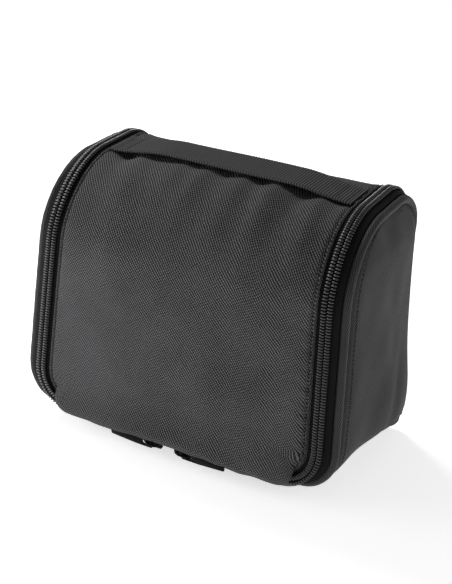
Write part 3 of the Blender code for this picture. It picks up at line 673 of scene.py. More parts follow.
SEAM = ZIP_INSET + PANEL_EDGE
SEAM_S = PIPING_S + SEAM + ZIP_LIFT
HANDLE_S = float(np.interp(HANDLE_FRONT_Y, WRAP[(WRAP[:, 0] > 0.1) & (WRAP[:, 0] < 0.3), 1],
                           WRAP[(WRAP[:, 0] > 0.1) & (WRAP[:, 0] < 0.3), 0]))
COVER_END_S = FOLD_S - FOLD_REACH
BACK_START_S = FOLD_S + FOLD_REACH

# Folds gathered into the seam under the handle: x, height, half width, length down, lean.
GATHERS = (
    (-0.074, -0.0030, 0.0060, 0.020, 0.10), (-0.063, 0.0010, 0.0055, 0.026, 0.05),
    (-0.048, -0.0008, 0.0060, 0.034, 0.02), (-0.031, 0.0009, 0.0060, 0.040, 0.00),
    (-0.013, 0.0013, 0.0050, 0.046, -0.04), (0.000, -0.0013, 0.0060, 0.044, 0.00),
    (0.014, 0.0007, 0.0050, 0.044, 0.05), (0.025, -0.0010, 0.0050, 0.050, 0.00),
    (0.037, 0.0015, 0.0052, 0.058, 0.04), (0.056, -0.0027, 0.0070, 0.050, -0.05),
    (0.069, 0.0016, 0.0050, 0.056, 0.08), (0.082, -0.0009, 0.0050, 0.044, 0.00))

# Wide soft dents of the front: x, s, height, reach across, reach up.
DENTS = (
    (0.030, 0.105, -0.0012, 0.040, 0.022), (-0.040, 0.120, 0.0010, 0.050, 0.030),
    (-0.020, 0.070, 0.0008, 0.060, 0.022), (0.055, 0.072, -0.0008, 0.030, 0.020),
    (-0.075, 0.090, -0.0006, 0.025, 0.020))


def bulge(x, s):
    reach = outline_x(s, SEAM)
    rise = ease((s - 0.030) / 0.06) * ease((0.176 - on_wrap(0, s)[..., 2]) / 0.05)
    return FRONT_BULGE * rise * np.maximum(0.0, 1 - (x / reach) ** 2)


def soft_noise(x, s, scale, seed):
    """Smooth, repeatable unevenness from a few slanting waves, about -1 to 1."""
    total = np.zeros(np.broadcast(x, s).shape)
    for k in range(5):
        way = 0.7 + 2.399 * (k + seed)
        rate = 2 * math.pi / scale * (0.6 + 0.23 * k)
        total = total + np.sin((x * math.cos(way) + s * math.sin(way)) * rate + 1.7 * k + seed)
    return total / 3.2


def face_height(x, s, edge):
    """Height of the panel's outer face; edge is the distance in from its sewn edge."""
    pillow = 1 - np.exp(-np.maximum(edge, 0) / 0.0050)
    n = 0.0019 + (SHELL_HEIGHT - 0.0019) * pillow + bulge(x, s)
    for fold_x, height, wide, long_, lean in GATHERS:
        down = HANDLE_S + 0.002 - s
        fade = np.where(down > 0, np.exp(-(np.maximum(down, 0) / long_) ** 1.6),
                        np.exp(-(np.minimum(down, 0) / 0.006) ** 2))
        middle = fold_x + lean * np.maximum(down, 0)
        spread = wide * (1 + 1.1 * np.maximum(down, 0) / long_ * 0.5)
        n = n + height * fade * np.exp(-((x - middle) / spread) ** 2) * pillow
    # The top sinks between the zips, and arches a little under the strap.
    n = n - HANDLE_SINK * ease((s - HANDLE_S + 0.014) / 0.016) * pillow
    arch = ease((0.078 - np.abs(x)) / 0.040) * np.exp(-((s - HANDLE_S - 0.012) / 0.022) ** 2)
    n = n + 0.0036 * arch * pillow
    sewn = np.exp(-((s - HANDLE_S - 0.001) / 0.0030) ** 2)
    n = n - 0.0012 * sewn * pillow * (0.4 + 0.6 * np.sin(x * 150 + 0.8) ** 2)
    for x0, s0, height, across, up in DENTS:
        n = n + height * np.exp(-((x - x0) / across) ** 2 - ((s - s0) / up) ** 2) * pillow
    n = n + 0.00030 * soft_noise(x, s, 0.050, 1) * pillow
    # Puckers where the cloth is drawn in by the zip's seam.
    run = s + 0.35 * np.abs(x)
    near = np.exp(-np.maximum(edge - 0.0015, 0) / 0.0050) * ease(edge / 0.0012)
    low_right = 0.55 + 0.75 * ease((x + 0.02) / 0.08) * ease((0.17 - s) / 0.08)
    pucker = np.sin(run * 2 * math.pi / 0.0105 + 2.2 * np.sin(run * 60)) \
        + 0.6 * np.sin(run * 2 * math.pi / 0.0063 + 1.0)
    return n + 0.00058 * low_right * near * pucker


def lip_profile(middle):
    """The panel's lower edge droops over the zip: (distance in, along the face, height)."""
    # `middle` is 1 over the sliders, where the edge rides up and out, and 0 elsewhere.
    reach = 0.0086 - 0.0022 * middle
    inside, outside = 0.0042 + 0.0016 * middle, 0.0064 + 0.0012 * middle
    at = [0.0, 0.0010, 0.0022, 0.0034, 0.0040, 0.0046, 0.0062, 0.0095, 0.0135, 0.0180]
    along = [0.0, -0.0004, -reach * 0.55, -reach + 0.0008, -reach, -reach + 0.0006,
             -reach + 0.0036, -0.0008, 0.0060, 0.0180]
    height = [0.0010, inside * 0.7, inside, inside, (inside + outside) / 2 + 0.0002, outside,
              outside + 0.0004, outside - 0.0007, SHELL_HEIGHT + 0.0016, SHELL_HEIGHT]
    fine = np.linspace(0, at[-1], 361)
    kernel = np.hanning(15)
    kernel /= kernel.sum()
    made = []
    for values in (along, height):
        dense = np.interp(fine, at, values)
        padded = np.concatenate([2 * dense[0] - dense[7:0:-1], dense,
                                 2 * dense[-1] - dense[-2:-9:-1]])
        made.append(np.convolve(padded, kernel, "valid"))
    return fine, made[0], made[1]


LINING_HEIGHT = -0.00115
LIPS = [lip_profile(k / 8) for k in range(9)]
LIP_DEPTH = 0.0180


def cover_point(x, s):
    """Outer face of the flap's panel, with its hem, and its lip along the bottom."""
    inset, out_x, out_s = inset_of(x, s)
    edge = inset - SEAM
    n = face_height(x, s, edge)
    hem = ease(edge / 0.0011)
    n = 0.0009 + (n - 0.0009) * np.sqrt(np.maximum(hem, 0))
    groove = np.exp(-((edge - 0.0026) / 0.00075) ** 2)
    n = n - 0.00115 * groove
    # The lip fades out round the corners.
    low = ease((-out_s - 0.50) / 0.45) * (s < CORNER_TOP)
    middle = 1 - ease((np.abs(x) - 0.020) / 0.032)
    level = middle * 8
    k = np.minimum(level.astype(int), 7)
    part = level - k
    along = np.zeros_like(x)
    height = np.zeros_like(x)
    for i in range(8):
        here = k == i
        if here.any():
            for target, column in ((along, 1), (height, 2)):
                a = np.interp(edge[here], LIPS[i][0], LIPS[i][column])
                b = np.interp(edge[here], LIPS[i + 1][0], LIPS[i + 1][column])
                target[here] = a + (b - a) * part[here]
    inside = edge < LIP_DEPTH
    uneven = 1 + 0.10 * soft_noise(x, s * 0, 0.045, 4)
    shift = np.where(inside, (along - edge) * low * uneven, 0.0)
    extra = height - (0.0009 + (SHELL_HEIGHT - 0.0009) * ease(edge / 0.002))
    n = n + np.where(inside, extra * low, 0.0)
    return on_wrap(x - out_x * shift, s - out_s * shift, n)


def spread_columns(reach, step):
    """Shares from -1 to 1, with stops close together near both ends."""
    near = np.array([0.0, 0.0004, 0.0008, 0.0013, 0.0018, 0.0024, 0.0031, 0.0040, 0.0052, 0.0068])
    count = max(2, round((reach - near[-1]) / step))
    half = np.concatenate([near / reach, np.linspace(near[-1] / reach, 1, count + 1)[1:]])
    return np.concatenate([half - 1, 1 - half[-2::-1]])


def cover_rows(start, end, step):
    near = np.arange(0, 0.0064, 0.0004)
    rest = np.arange(0.0064, end - start, step)
    return start + np.concatenate([near, rest, [end - start]])


def true_lengths(grid):
    """Flat map of a cloth grid, so its weave keeps its size where the cloth rolls over."""
    across = np.linalg.norm(np.diff(grid, axis=1), axis=2)
    up = np.linalg.norm(np.diff(grid, axis=0), axis=2)
    u = np.concatenate([np.zeros((len(grid), 1)), np.cumsum(across, axis=1)], axis=1)
    u -= u[:, u.shape[1] // 2][:, None]
    v = np.concatenate([np.zeros((1, grid.shape[1])), np.cumsum(up, axis=0)], axis=0)
    return np.stack([u, v - v[-1]], -1)


def make_cover(skins):
    rows = cover_rows(SEAM_S, COVER_END_S, 0.0016)
    shares = spread_columns(0.093, 0.0017)
    reach = outline_x(rows, SEAM)
    x = reach[:, None] * shares[None, :]
    s = np.broadcast_to(rows[:, None], x.shape).copy()
    grid = cover_point(x, s)
    cover = cloth("flap_cover", grid, true_lengths(grid), 0.0008, skins["front"], flip=True)
    ride(cover, "flap", "front_fabric", "flap_panel")
    path, _ = zip_path(0.0015, COVER_END_S, inset=SEAM + 0.0026)
    bottom = np.abs(path[3]) < 0.55
    line_x, line_s = path[0], path[1]
    points = cover_point(line_x, line_s)
    side = np.stack([path[2], path[3] * 0, path[3]], -1)
    half = len(line_x) // 2
    for name, part in (("left", slice(0, half)), ("right", slice(half, None))):
        keep = bottom[part]
        row = stitch_row(f"cover_stitches_{name}", points[part][keep], side[part][keep],
                         skins["thread"])
        ride(row, "flap", "front_fabric")
    return cover


def make_fold(skins):
    """The strip of cloth where the flap folds back, and its lining."""
    rows = np.linspace(COVER_END_S, BACK_START_S, 28)
    share = ease((rows - FOLD_S) / FOLD_REACH)[:, None]
    x = outline_x(rows, SEAM)[:, None] * spread_columns(0.093, 0.0017)
    s = np.broadcast_to(rows[:, None], x.shape).copy()
    outer = cover_point(x, s) * (1 - share[..., None]) \
        + on_wrap(x, s, back_height(x, s, 0.12)) * share[..., None]
    lining_x = outline_x(rows, ZIP_INSET + 0.0040)[:, None] * np.linspace(-1, 1, 61)
    lining_s = np.broadcast_to(rows[:, None], lining_x.shape)
    inner = on_wrap(lining_x, lining_s, LINING_HEIGHT)
    for name, grid, uv, thick, skin, slot in (
            ("fold_cloth", outer, np.stack([x, s], -1), 0.0008, "front", "front_fabric"),
            ("fold_lining", inner, np.stack([lining_x, lining_s], -1), 0.0006, "lining",
             "lining")):
        strip = cloth(name, grid, uv, thick, skins[skin], flip=True)
        tuple(on_wrap(0, BACK_START_S - 0.001))
        tuple(on_wrap(0, COVER_END_S + 0.001))
        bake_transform(strip)


# --- Back, gussets, base and linings ------------------------------------------------------------

SEAM_CLEAR = PIPING_RADIUS + 0.0004
BACK_END_S = FOOT_BACK_S - PIPING_S_BACK


def back_edge(s, inset):
    low = BACK_END_S - CORNER_BACK
    radius = CORNER_BACK - inset
    width = half_width(on_wrap(0, np.minimum(s, low))[..., 2])
    drop = np.clip((s - low) / (radius - 0.0036), 0, 1)
    return np.where(s < low, width - inset, width - CORNER_BACK + radius * np.sqrt(1 - drop ** 2))


def back_height(x, s, reach):
    near = ease((reach - np.abs(x)) / 0.012) * ease((BACK_END_S - s) / 0.018)
    sag = 0.0010 * np.exp(-((s - BACK_END_S + 0.05) / 0.05) ** 2) * (1 - (x / 0.12) ** 2)
    waves = 0.0005 * soft_noise(x, s, 0.060, 7)
    return -0.0022 + 0.0022 * near + (sag + waves) * near


def make_back(skins):
    last = BACK_END_S - 0.0038 - (SEAM_CLEAR - 0.0030)
    rows = np.concatenate([np.linspace(FOLD_S + 0.0006, BACK_START_S, 8),
                           np.linspace(BACK_START_S, BACK_END_S - CORNER_BACK, 70)[1:],
                           np.linspace(BACK_END_S - CORNER_BACK, last, 12)[1:]])
    strip = outline_x(rows[:8], SEAM - 0.0004).mean()
    outer = back_edge(rows, SEAM_CLEAR - 0.0006)
    middle = np.linspace(0, 1, 46)
    ear = np.linspace(0, 1, 9)[1:]
    half = np.concatenate([middle[None, :] * strip * np.ones((len(rows), 1)),
                           strip + (outer[:, None] - strip) * ear[None, :]], axis=1)
    late = rows > BACK_END_S - CORNER_BACK - 0.02
    shrink = np.where(late[:, None], np.minimum(1, (outer / strip)[:, None] * 0.93), 1)
    half[:, :46] *= shrink
    inner = half[:, 45:46]
    half[:, 46:] = inner + (outer[:, None] - inner) * ear[None, :]
    x = np.concatenate([-half[:, :0:-1], half], axis=1)
    s = np.broadcast_to(rows[:, None], x.shape)
    n = back_height(x, s, outer[:, None])
    keep = np.ones((x.shape[0] - 1, x.shape[1] - 1), bool)
    keep[:7, 8:-8] = False
    back = cloth("back_cover", on_wrap(x, s, n), np.stack([x, s], -1), 0.0010, skins["front"],
                 flip=True, keep=keep)
    ride(back, "bag", "front_fabric", "back_panel")

    rows = np.linspace(BACK_START_S, BACK_END_S - 0.020, 40)
    x = (back_edge(rows, SEAM_CLEAR + 0.004))[:, None] * np.linspace(-1, 1, 60)
    s = np.broadcast_to(rows[:, None], x.shape)
    n = back_height(x, s, 0.12) - 0.0024 + 0.0003 * soft_noise(x, s, 0.03, 3)
    lining = cloth("back_wall_lining", on_wrap(x, s, n), np.stack([x, s], -1), 0.0006,
                   skins["lining"], flip=True)
    ride(lining, "bag", "lining", "back_lining")


def band(turn):
    """Front and back ends and the outward way of the side-and-base band, at a turn."""
    piping_z = on_wrap(0, PIPING_S, -PIPING_DROP)[2]
    back_piping_z = on_wrap(0, BACK_END_S, -PIPING_DROP)[2]
    out_x, out_z = math.sin(turn), -math.cos(turn)
    front = on_wrap(0, PIPING_S + CORNER_FRONT * (1 - math.cos(turn)), -PIPING_DROP)
    share = float(ease(turn / (math.pi / 2)))
    push = piping_z + (0.0014 - piping_z) * share
    a = np.array((CENTRE_X + (CORNER_FRONT + push) * out_x, front[1] + 0.0026,
                  front[2] + push * out_z))
    push = back_piping_z + (0.0014 - back_piping_z) * share
    back_x = half_width(CORNER_BACK) - CORNER_BACK
    tuck = (WRAP_RADII[3] - PIPING_DROP) * (1 - math.sin(turn))
    b = np.array((back_x + (CORNER_BACK + push) * out_x, BACK_Y - PIPING_DROP - tuck - 0.0026,
                  back_piping_z + CORNER_BACK - CORNER_BACK * math.cos(turn) + push * out_z))
    return a, b, np.array((out_x, 0, out_z))


def band_rise():
    """The same up the side, from the corners to the crest of the gusset."""
    samples = on_wrap(0, np.linspace(CORNER_TOP, BACK_END_S - CORNER_BACK, 1500),
                      -PIPING_DROP - 0.0026)
    top = int(np.argmax(samples[:, 2]))
    front, back = samples[:top + 1], samples[top:][::-1]
    low_front, low_back, high = front[0, 2], back[0, 2], samples[top, 2]
    rows = []
    for share in np.sin(np.linspace(0, math.pi / 2, 70)[1:]) ** 0.9:
        z_front = low_front + (high - low_front) * share
        z_back = low_back + (high - low_back) * share
        y_front = np.interp(z_front, front[:, 2], front[:, 1])
        y_back = np.interp(z_back, back[:, 2], back[:, 1])
        rows.append((np.array((half_width(z_front) + 0.0014, y_front, z_front)),
                     np.array((half_width(z_back) + 0.0014, y_back, z_back)),
                     np.array((1.0, 0.0, 0.0))))
    return rows


def band_surface(rows, columns, side, swell):
    """Grid of the band, swelling out between its seams, and its flat (y, run) map."""
    grid, run, place = [], 0.0, []
    before = rows[0][0]
    w = np.linspace(0, 1, columns)
    w = w - 0.07 * np.sin(2 * math.pi * w) / 2
    for k, (a, b, out) in enumerate(rows):
        run += float(np.linalg.norm(a - before))
        before = a
        line = a[None, :] * (1 - w[:, None]) + b[None, :] * w[:, None]
        across = np.linalg.norm(b - a) * w
        edge = np.minimum(across, np.linalg.norm(b - a) - across)
        ends = min(1.0, (len(rows) - 1 - k) / 9.0)
        turn = math.degrees(math.atan2(out[0], -out[2])) + max(0.0, a[2] - CORNER_Z) / 0.0009
        under = 0.0065 * np.sin(math.pi * w) ** 0.8 * math.exp(-((turn - 65) / 26) ** 2)
        push = swell(line, edge, run, w) * ends - under
        line = line + push[:, None] * out[None, :]
        line[:, 0] *= side
        grid.append(line)
        place.append(np.stack([line[:, 1], np.full(columns, run)], -1))
    return np.array(grid), np.array(place)


def gusset_swell(line, edge, run, w):
    """Pillowed side: plump in the middle, drawn in at the seams, with a few soft creases."""
    y, z = line[:, 1], line[:, 2]
    full = ease(z / 0.03) * ease((0.188 - z) / 0.03)
    plump = (0.0024 * np.sin(math.pi * w) + 0.0030 * (1 - np.exp(-edge / 0.0045))) * full
    plump = plump + 0.0050 * np.exp(-((z - 0.040) / 0.035) ** 2) * ease(z / 0.03) \
        * ease((y + 0.02) / 0.05) * (1 - np.exp(-edge / 0.0060))
    rolled = -0.0016 * np.exp(-(edge / 0.0022) ** 2)
    groove = -0.0005 * np.exp(-((edge - 0.0048) / 0.0007) ** 2)
    crease = -0.0014 * np.exp(-((y - 0.022 - 0.30 * (z - 0.05)) / 0.007) ** 2) \
        * np.exp(-((z - 0.050) / 0.034) ** 2)
    ridge = 0.0010 * np.exp(-((y - 0.002 + 0.22 * (z - 0.1)) / 0.010) ** 2) \
        * np.exp(-((z - 0.085) / 0.05) ** 2)
    top = -0.0010 * np.exp(-((y - 0.004) / 0.012) ** 2) * np.exp(-((z - 0.168) / 0.016) ** 2)
    uneven = 0.0004 * soft_noise(y, z, 0.045, 2)
    return plump + rolled + groove + (crease + ridge + top + uneven) * ease(edge / 0.012)


def no_swell(line, edge, run, w):
    return 0.0 * edge


def make_band(skins):
    for side, name in ((-1, "left"), (1, "right")):
        rows = [band(t) for t in np.linspace(BASE_SEAM_TURN + BASE_SEAM_GAP, math.pi / 2, 26)]
        rows += band_rise()
        grid, place = band_surface(rows, 90, side, gusset_swell)
        item = cloth(f"side_gusset_{name}", grid, place, 0.0009, skins["gusset"],
                     flip=side > 0)
        ride(item, "bag", "gusset_fabric", f"gusset_{name}")
        stitch = np.array([row[6] for row in grid[4:-8]])
        toward = np.array([row[9] - row[6] for row in grid[4:-8]])
        toward /= np.linalg.norm(toward, axis=1)[:, None]
        ride(stitch_row(f"gusset_stitches_{name}", stitch, toward, skins["thread"]), "bag",
             "gusset_fabric")
    left = [band(t) for t in np.linspace(0, BASE_SEAM_TURN - BASE_SEAM_GAP, 16)]
    grid_l, place_l = band_surface(left, 60, -1, no_swell)
    grid_r, place_r = band_surface(left, 60, 1, no_swell)
    place_l[..., 1] *= -1
    grid = np.concatenate([grid_l[::-1], grid_r])
    base = cloth("base_cloth", grid, np.concatenate([place_l[::-1], place_r]), 0.0012,
                 skins["gusset"], flip=True)
    ride(base, "bag", "gusset_fabric", "base_panel")

    rows = [band(t) for t in np.linspace(0, math.pi / 2, 40)] + band_rise()
    halves = []
    for side in (-1, 1):
        grid, place = band_surface(rows, 48, side, no_swell)
        normals = sheet_normals(grid) * (1 if side < 0 else -1)
        grid = grid - normals * 0.0027 * np.sign((normals[60, 24, 0]) * side)
        place[..., 1] *= side
        halves.append((grid[::-1], place[::-1]) if side < 0 else (grid, place))
    grid = np.concatenate([halves[0][0], halves[1][0]])
    place = np.concatenate([halves[0][1], halves[1][1]])
    lining = cloth("body_wall_lining", grid, place, 0.0006, skins["lining"], flip=True)
    ride(lining, "bag", "lining", "body_lining")


# --- Piping and zip -----------------------------------------------------------------------------

def even_line(points, step):
    points = np.asarray(points, float)
    length = np.concatenate([[0], np.cumsum(np.linalg.norm(np.diff(points, axis=0), axis=1))])
    stops = np.linspace(0, length[-1], max(2, round(length[-1] / step)) + 1)
    return np.stack([np.interp(stops, length, points[:, k]) for k in range(3)], -1)


def make_piping(skins):
    path, _ = zip_path(0.001, BACK_END_S - CORNER_BACK, inset=0.0)
    right = path[0] > 0
    x, s = path[0][right], path[1][right]
    back_x = half_width(on_wrap(0, BACK_END_S - CORNER_BACK)[2]) - CORNER_BACK
    turn = np.linspace(0, math.pi / 2, 30)[1:]
    tuck = 0.0020 * ease((s - FOLD_S) / 0.03)
    x = np.concatenate([[0.0003], x - tuck, back_x - 0.0020 + CORNER_BACK * np.cos(turn),
                        [0.0003]])
    s = np.concatenate([[s[0]], s, BACK_END_S - CORNER_BACK * (1 - np.sin(turn)), [BACK_END_S]])
    line = even_line(on_wrap(x, s, -PIPING_DROP), 0.0012)
    run = np.arange(len(line)) * 0.0012
    radius = PIPING_RADIUS * (1 + 0.018 * np.sin(run * 310) + 0.012 * np.sin(run * 733 + 1))
    for side, name in ((-1, "left"), (1, "right")):
        rings = tube_rings(line * (side, 1, 1), radius, 16)
        cord = sweep(f"piping_cord_{name}", rings, skins["piping"], sharp=70)
        ride(cord, "bag", "piping_fabric", f"piping_{name}")


def swept(name, path, section, skin):
    """A strip round the zip's U; its section is (towards the flap, height, share of the lift)."""
    rings = np.stack([rail(path, towards, n, share) for towards, n, share in section], axis=1)
    return sweep(name, rings, skin, sharp=50)


def make_tapes(skins):
    path, _ = zip_path(0.0020)
    t = TAPE_HALF
    top = [(w, t * (1 + 0.25 * math.sin(w * 5200)), 0) for w in np.linspace(0.0002, 0.0115, 18)]
    low = [(w, -t, 0) for w in np.linspace(0.0115, 0.0002, 6)]
    ride(swept("flap_tape", path, top + low, skins["tape"]), "flap", "zip_tape",
         "zip_tape_flap_side")
    seam_in, seam_n = -0.00805, -0.00088
    shares = np.linspace(0, 1, 9)
    top = [(-w, t, 0) for w in np.linspace(0.0002, 0.0046, 9)]
    top += [(-0.0046 + (seam_in + 0.0046) * k, t + (seam_n - t + 0.0002) * k ** 1.5, k)
            for k in shares[1:]]
    low = [(w, n - 0.0006, k) for w, n, k in top[::-1]]
    ride(swept("body_tape", path, top + low, skins["tape"]), "bag", "zip_tape",
         "zip_tape_body_side")


def make_coils(skins):
    """Two rows of teeth, half a pitch apart, each tooth with its head in the middle."""
    pitch = 0.0020
    for sign, name, body in ((1, "flap", "flap"), (-1, "body", "bag")):
        path, stops = zip_path(0.0005)
        at = np.arange(0.0012 + (pitch / 2 if sign > 0 else 0), stops[-1] - 0.001, pitch)
        path = [np.interp(at, stops, row) for row in path]
        middle = rail(path, sign * 0.00205, 0.00190)
        across = rail(path, sign * 0.00155, 0.00190) - middle
        across /= np.linalg.norm(across, axis=1)[:, None]
        out = rail(path, sign * 0.00205, 0.00240) - middle
        out /= np.linalg.norm(out, axis=1)[:, None]
        along = np.cross(out, across)
        shape, faces = bead(8, 10, head=1.18)
        places = (middle, across * 0.00190, along * 0.00078, out * 0.00122)
        teeth = copies(f"{name}_teeth", shape, faces, places, skins["coil"])
        ride(teeth, body, "zip_coil", f"zip_coil_{name}_side")
        seam = rail(path, sign * 0.0043, 0.0007)
        ride(stitch_row(f"{name}_coil_stitches", seam, across, skins["thread"], 0.0016, 0.0006,
                        0.00018), body, "zip_tape")


def make_end_tabs(skins):
    centre = float(half_width(on_wrap(0, FOLD_S)[2])) - ZIP_INSET
    for side, name in ((-1, "left"), (1, "right")):
        rows = np.linspace(FOLD_S + 0.0012, FOLD_S + 0.0107, 20)
        columns = np.linspace(-1, 1, 24)
        x = side * (centre + 0.0073 * columns)[None, :] + rows[:, None] * 0
        s = np.broadcast_to(rows[:, None], x.shape)
        rim = np.minimum(1 - np.abs(columns)[None, :] + rows[:, None] * 0,
                         np.minimum(rows - rows[0], rows[-1] - rows)[:, None] / 0.0073)
        n = 0.0010 + 0.0009 * ease(rim / 0.16) - 0.0003 * np.exp(-((rim - 0.24) / 0.06) ** 2)
        tab = cloth(f"end_tab_{name}", on_wrap(x, s, n), np.stack([x, s], -1), 0.0010,
                    skins["tape"], flip=side > 0)
        ride(tab, "bag", "zip_tape", f"zip_end_tab_{name}")
        loop = [(-0.78, 0.0018), (0.78, 0.0018), (0.78, 0.0077), (-0.78, 0.0077), (-0.78, 0.0018)]
        line = on_wrap([side * (centre + 0.0073 * a) for a, _ in loop],
                       [FOLD_S + 0.0012 + b for _, b in loop], 0.0019)
        line = even_line(line, 0.0004)
        out = np.broadcast_to((0.0, 0.6, 0.4), line.shape)
        ride(stitch_row(f"end_tab_stitches_{name}", line, out, skins["thread"], 0.0016, 0.0007),
             "bag", "zip_tape")


# --- Sliders and pullers ------------------------------------------------------------------------

def zip_place(side):
    """Matrix of the zip's straight bottom run: columns across the bag, towards the flap, out."""
    s = PIPING_S + ZIP_INSET + ZIP_LIFT
    point = on_wrap(0, s)
    out = unit(on_wrap(0, s, 0.001) - point)
    place = np.eye(4)
    place[:3, 0] = (side, 0, 0)
    place[:3, 1] = np.cross(out, (1, 0, 0))
    place[:3, 2] = out
    place[:3, 3] = point
    return place


def placed(points, place):
    return np.asarray(points) @ place[:3, :3].T + place[:3, 3]


def shrunk(loop, inset):
    """A closed flat outline moved in by a distance, counter-clockwise."""
    way = np.roll(loop, -1, axis=0) - np.roll(loop, 1, axis=0)
    way /= np.linalg.norm(way, axis=1)[:, None]
    return loop + np.stack([-way[:, 1], way[:, 0]], -1) * inset


def round_outline(corners, radius, count=120):
    """Even points round a polygon whose corners are rounded."""
    corners = np.asarray(corners, float)
    dense = []
    for before, corner, after in zip(np.roll(corners, 1, axis=0), corners,
                                     np.roll(corners, -1, axis=0)):
        back, on = unit(before - corner), unit(after - corner)
        reach = min(radius, np.linalg.norm(before - corner) * 0.45,
                    np.linalg.norm(after - corner) * 0.45)
        for t in np.linspace(0, 1, 9):
            dense.append(corner + back * reach * (1 - t) ** 2 + on * reach * t ** 2)
    dense = np.array(dense + dense[:1])
    length = np.concatenate([[0], np.cumsum(np.linalg.norm(np.diff(dense, axis=0), axis=1))])
    stops = np.linspace(0, length[-1], count + 1)[:-1]
    return np.stack([np.interp(stops, length, dense[:, k]) for k in (0, 1)], -1)


def plate_rings(loop, low, high, bevel, crown=0.0):
    levels = [(low, bevel), (low + 0.3 * bevel, 0.3 * bevel), (low + bevel, 0.0),
              (high - bevel, 0.0), (high - 0.3 * bevel, 0.3 * bevel), (high, bevel)]
    rings = [np.column_stack([shrunk(loop, inset), np.full(len(loop), z)]) for z, inset in levels]
    middle = loop.mean(axis=0)
    for share in (0.80, 0.5, 0.2):
        inner = middle + (shrunk(loop, bevel) - middle) * share
        rings.append(np.column_stack([inner, np.full(len(loop), high + crown * (1 - share ** 2))]))
    return np.array(rings)


def join(name, parts):
    """One object from several; the first one keeps its data."""
    bpy.ops.object.select_all(action="DESELECT")
    for part in parts:
        part.select_set(True)
    bpy.context.view_layer.objects.active = parts[0]
    bpy.ops.object.join()
    parts[0].name = name
    return parts[0]


def solid(name, rings, place, skin, sharp=40):
    shape = np.asarray(rings)
    return sweep(name, placed(shape.reshape(-1, 3), place).reshape(shape.shape), skin, sharp)


def make_slider(side, word, skins):
    place = zip_place(side)
    nose, tail = SLIDER_START, SLIDER_START + SLIDER_LENGTH
    middle, top = SLIDER_MIDDLE, SLIDER_TOP
    shield = round_outline([(nose, -0.0062), (nose + 0.0045, -0.0065), (tail, -0.0052),
                            (tail, 0.0046), (nose + 0.0045, 0.0053), (nose, 0.0050)], 0.0016)
    parts = [solid("plate", plate_rings(shield, SLIDER_LOW, top - 0.0001, 0.00035, 0.0001), place,
                   skins["enamel"])]
    lower = round_outline([(nose, -0.0058), (tail, -0.0048), (tail, 0.0044), (nose, 0.0047)],
                          0.0014)
    parts.append(solid("under", plate_rings(lower, -0.0012, -0.0005, 0.0002), place,
                       skins["enamel"]))
    flange = round_outline([(nose + 0.0006, -0.0064), (tail - 0.0006, -0.0054),
                            (tail - 0.0006, -0.0046), (nose + 0.0006, -0.0056)], 0.0006)
    parts.append(solid("flange", plate_rings(flange, 0.0016, SLIDER_LOW + 0.0003, 0.0002), place,
                       skins["enamel"]))
    arch = []
    for t in np.linspace(0, math.pi, 33):
        cosine, sine = math.cos(t), math.sin(t)
        arch.append((middle - 0.0040 * np.sign(cosine) * abs(cosine) ** 0.55, BAIL_Y,
                     top - 0.0003 + 0.0030 * sine ** 0.55))
    rings = tube_rings(np.array(arch), 0.00062, 12)
    rings[..., 1] = BAIL_Y + (rings[..., 1] - BAIL_Y) * 1.4
    parts.append(solid("bail", rings, place, skins["enamel"], 60))
    rivet = tube_rings(np.array([(middle + 0.0047, 0.0012, top - 0.0004),
                                 (middle + 0.0047, 0.0012, top + 0.0002)]), 0.0009, 16)
    parts.append(solid("rivet", rivet, place, skins["enamel"]))
    slider = join(f"{word}_slider_body", parts)
    ride(slider, f"{word}_slider", "slider_metal", f"slider_{word}")


def make_puller(side, word, skins):
    """Flat tag with rounded edges and a slot for the bail."""
    pivot = np.array((SLIDER_MIDDLE, BAIL_Y, SLIDER_TOP + 0.0011))
    outline = round_outline([(-0.0006, -0.0037), (0.0120, -0.0037), (PULLER_LENGTH, -0.0024),
                             (PULLER_LENGTH, 0.0024), (0.0120, 0.0037), (-0.0006, 0.0037)],
                            0.0016, 160)
    slot_middle = np.array((0.0037, 0.0))
    angle = np.unwrap(np.arctan2(*(outline - slot_middle).T[::-1]))
    hole = round_outline([(0.0006, -0.0015), (0.0068, -0.0015), (0.0068, 0.0015),
                          (0.0006, 0.0015)], 0.0010, 400)
    hole_angle = np.unwrap(np.arctan2(*(hole - slot_middle).T[::-1]))
    order = np.argsort(np.mod(hole_angle, 2 * math.pi))
    inner = np.stack([np.interp(np.mod(angle, 2 * math.pi), np.mod(hole_angle, 2 * math.pi)[order],
                                hole[order, k], period=2 * math.pi) for k in (0, 1)], -1)
    half, edge = 0.0006, 0.00030
    thin = 1 - 0.25 * ease((outline[:, 0] - 0.012) / 0.018)
    ring = []
    for loop, height, inset in ((outline, -half + edge, 0), (outline, half - edge, 0),
                                (outline, half - 0.3 * edge, 0.3 * edge), (outline, half, edge),
                                (inner, half, -edge), (inner, half - 0.3 * edge, -0.3 * edge),
                                (inner, half - edge, 0), (inner, -half + edge, 0),
                                (inner, -half, -edge), (outline, -half, edge)):
        flat = shrunk(loop, inset) if inset else loop
        share = thin if loop is outline else 1.0
        ring.append(np.column_stack([flat, height * share * np.ones(len(flat))]))
    rings = np.stack(ring, axis=1)
    count, round_ = rings.shape[:2]
    cell = np.arange(count * round_).reshape(count, round_)
    ahead = np.roll(cell, -1, axis=0)
    faces = np.stack([cell, np.roll(cell, -1, axis=1), np.roll(ahead, -1, axis=1), ahead],
                     -1).reshape(-1, 4).tolist()
    points = placed(rings.reshape(-1, 3) + pivot, zip_place(side))
    tag = make_mesh(f"{word}_puller_tag", points, faces, skins["enamel"], sharp=50)
    if volume(tag.data) < 0:
        tag.data.flip_normals()
    ride(tag, f"{word}_puller", "slider_metal", f"puller_{word}")


# --- Handle, linings, pockets and hook ----------------------------------------------------------

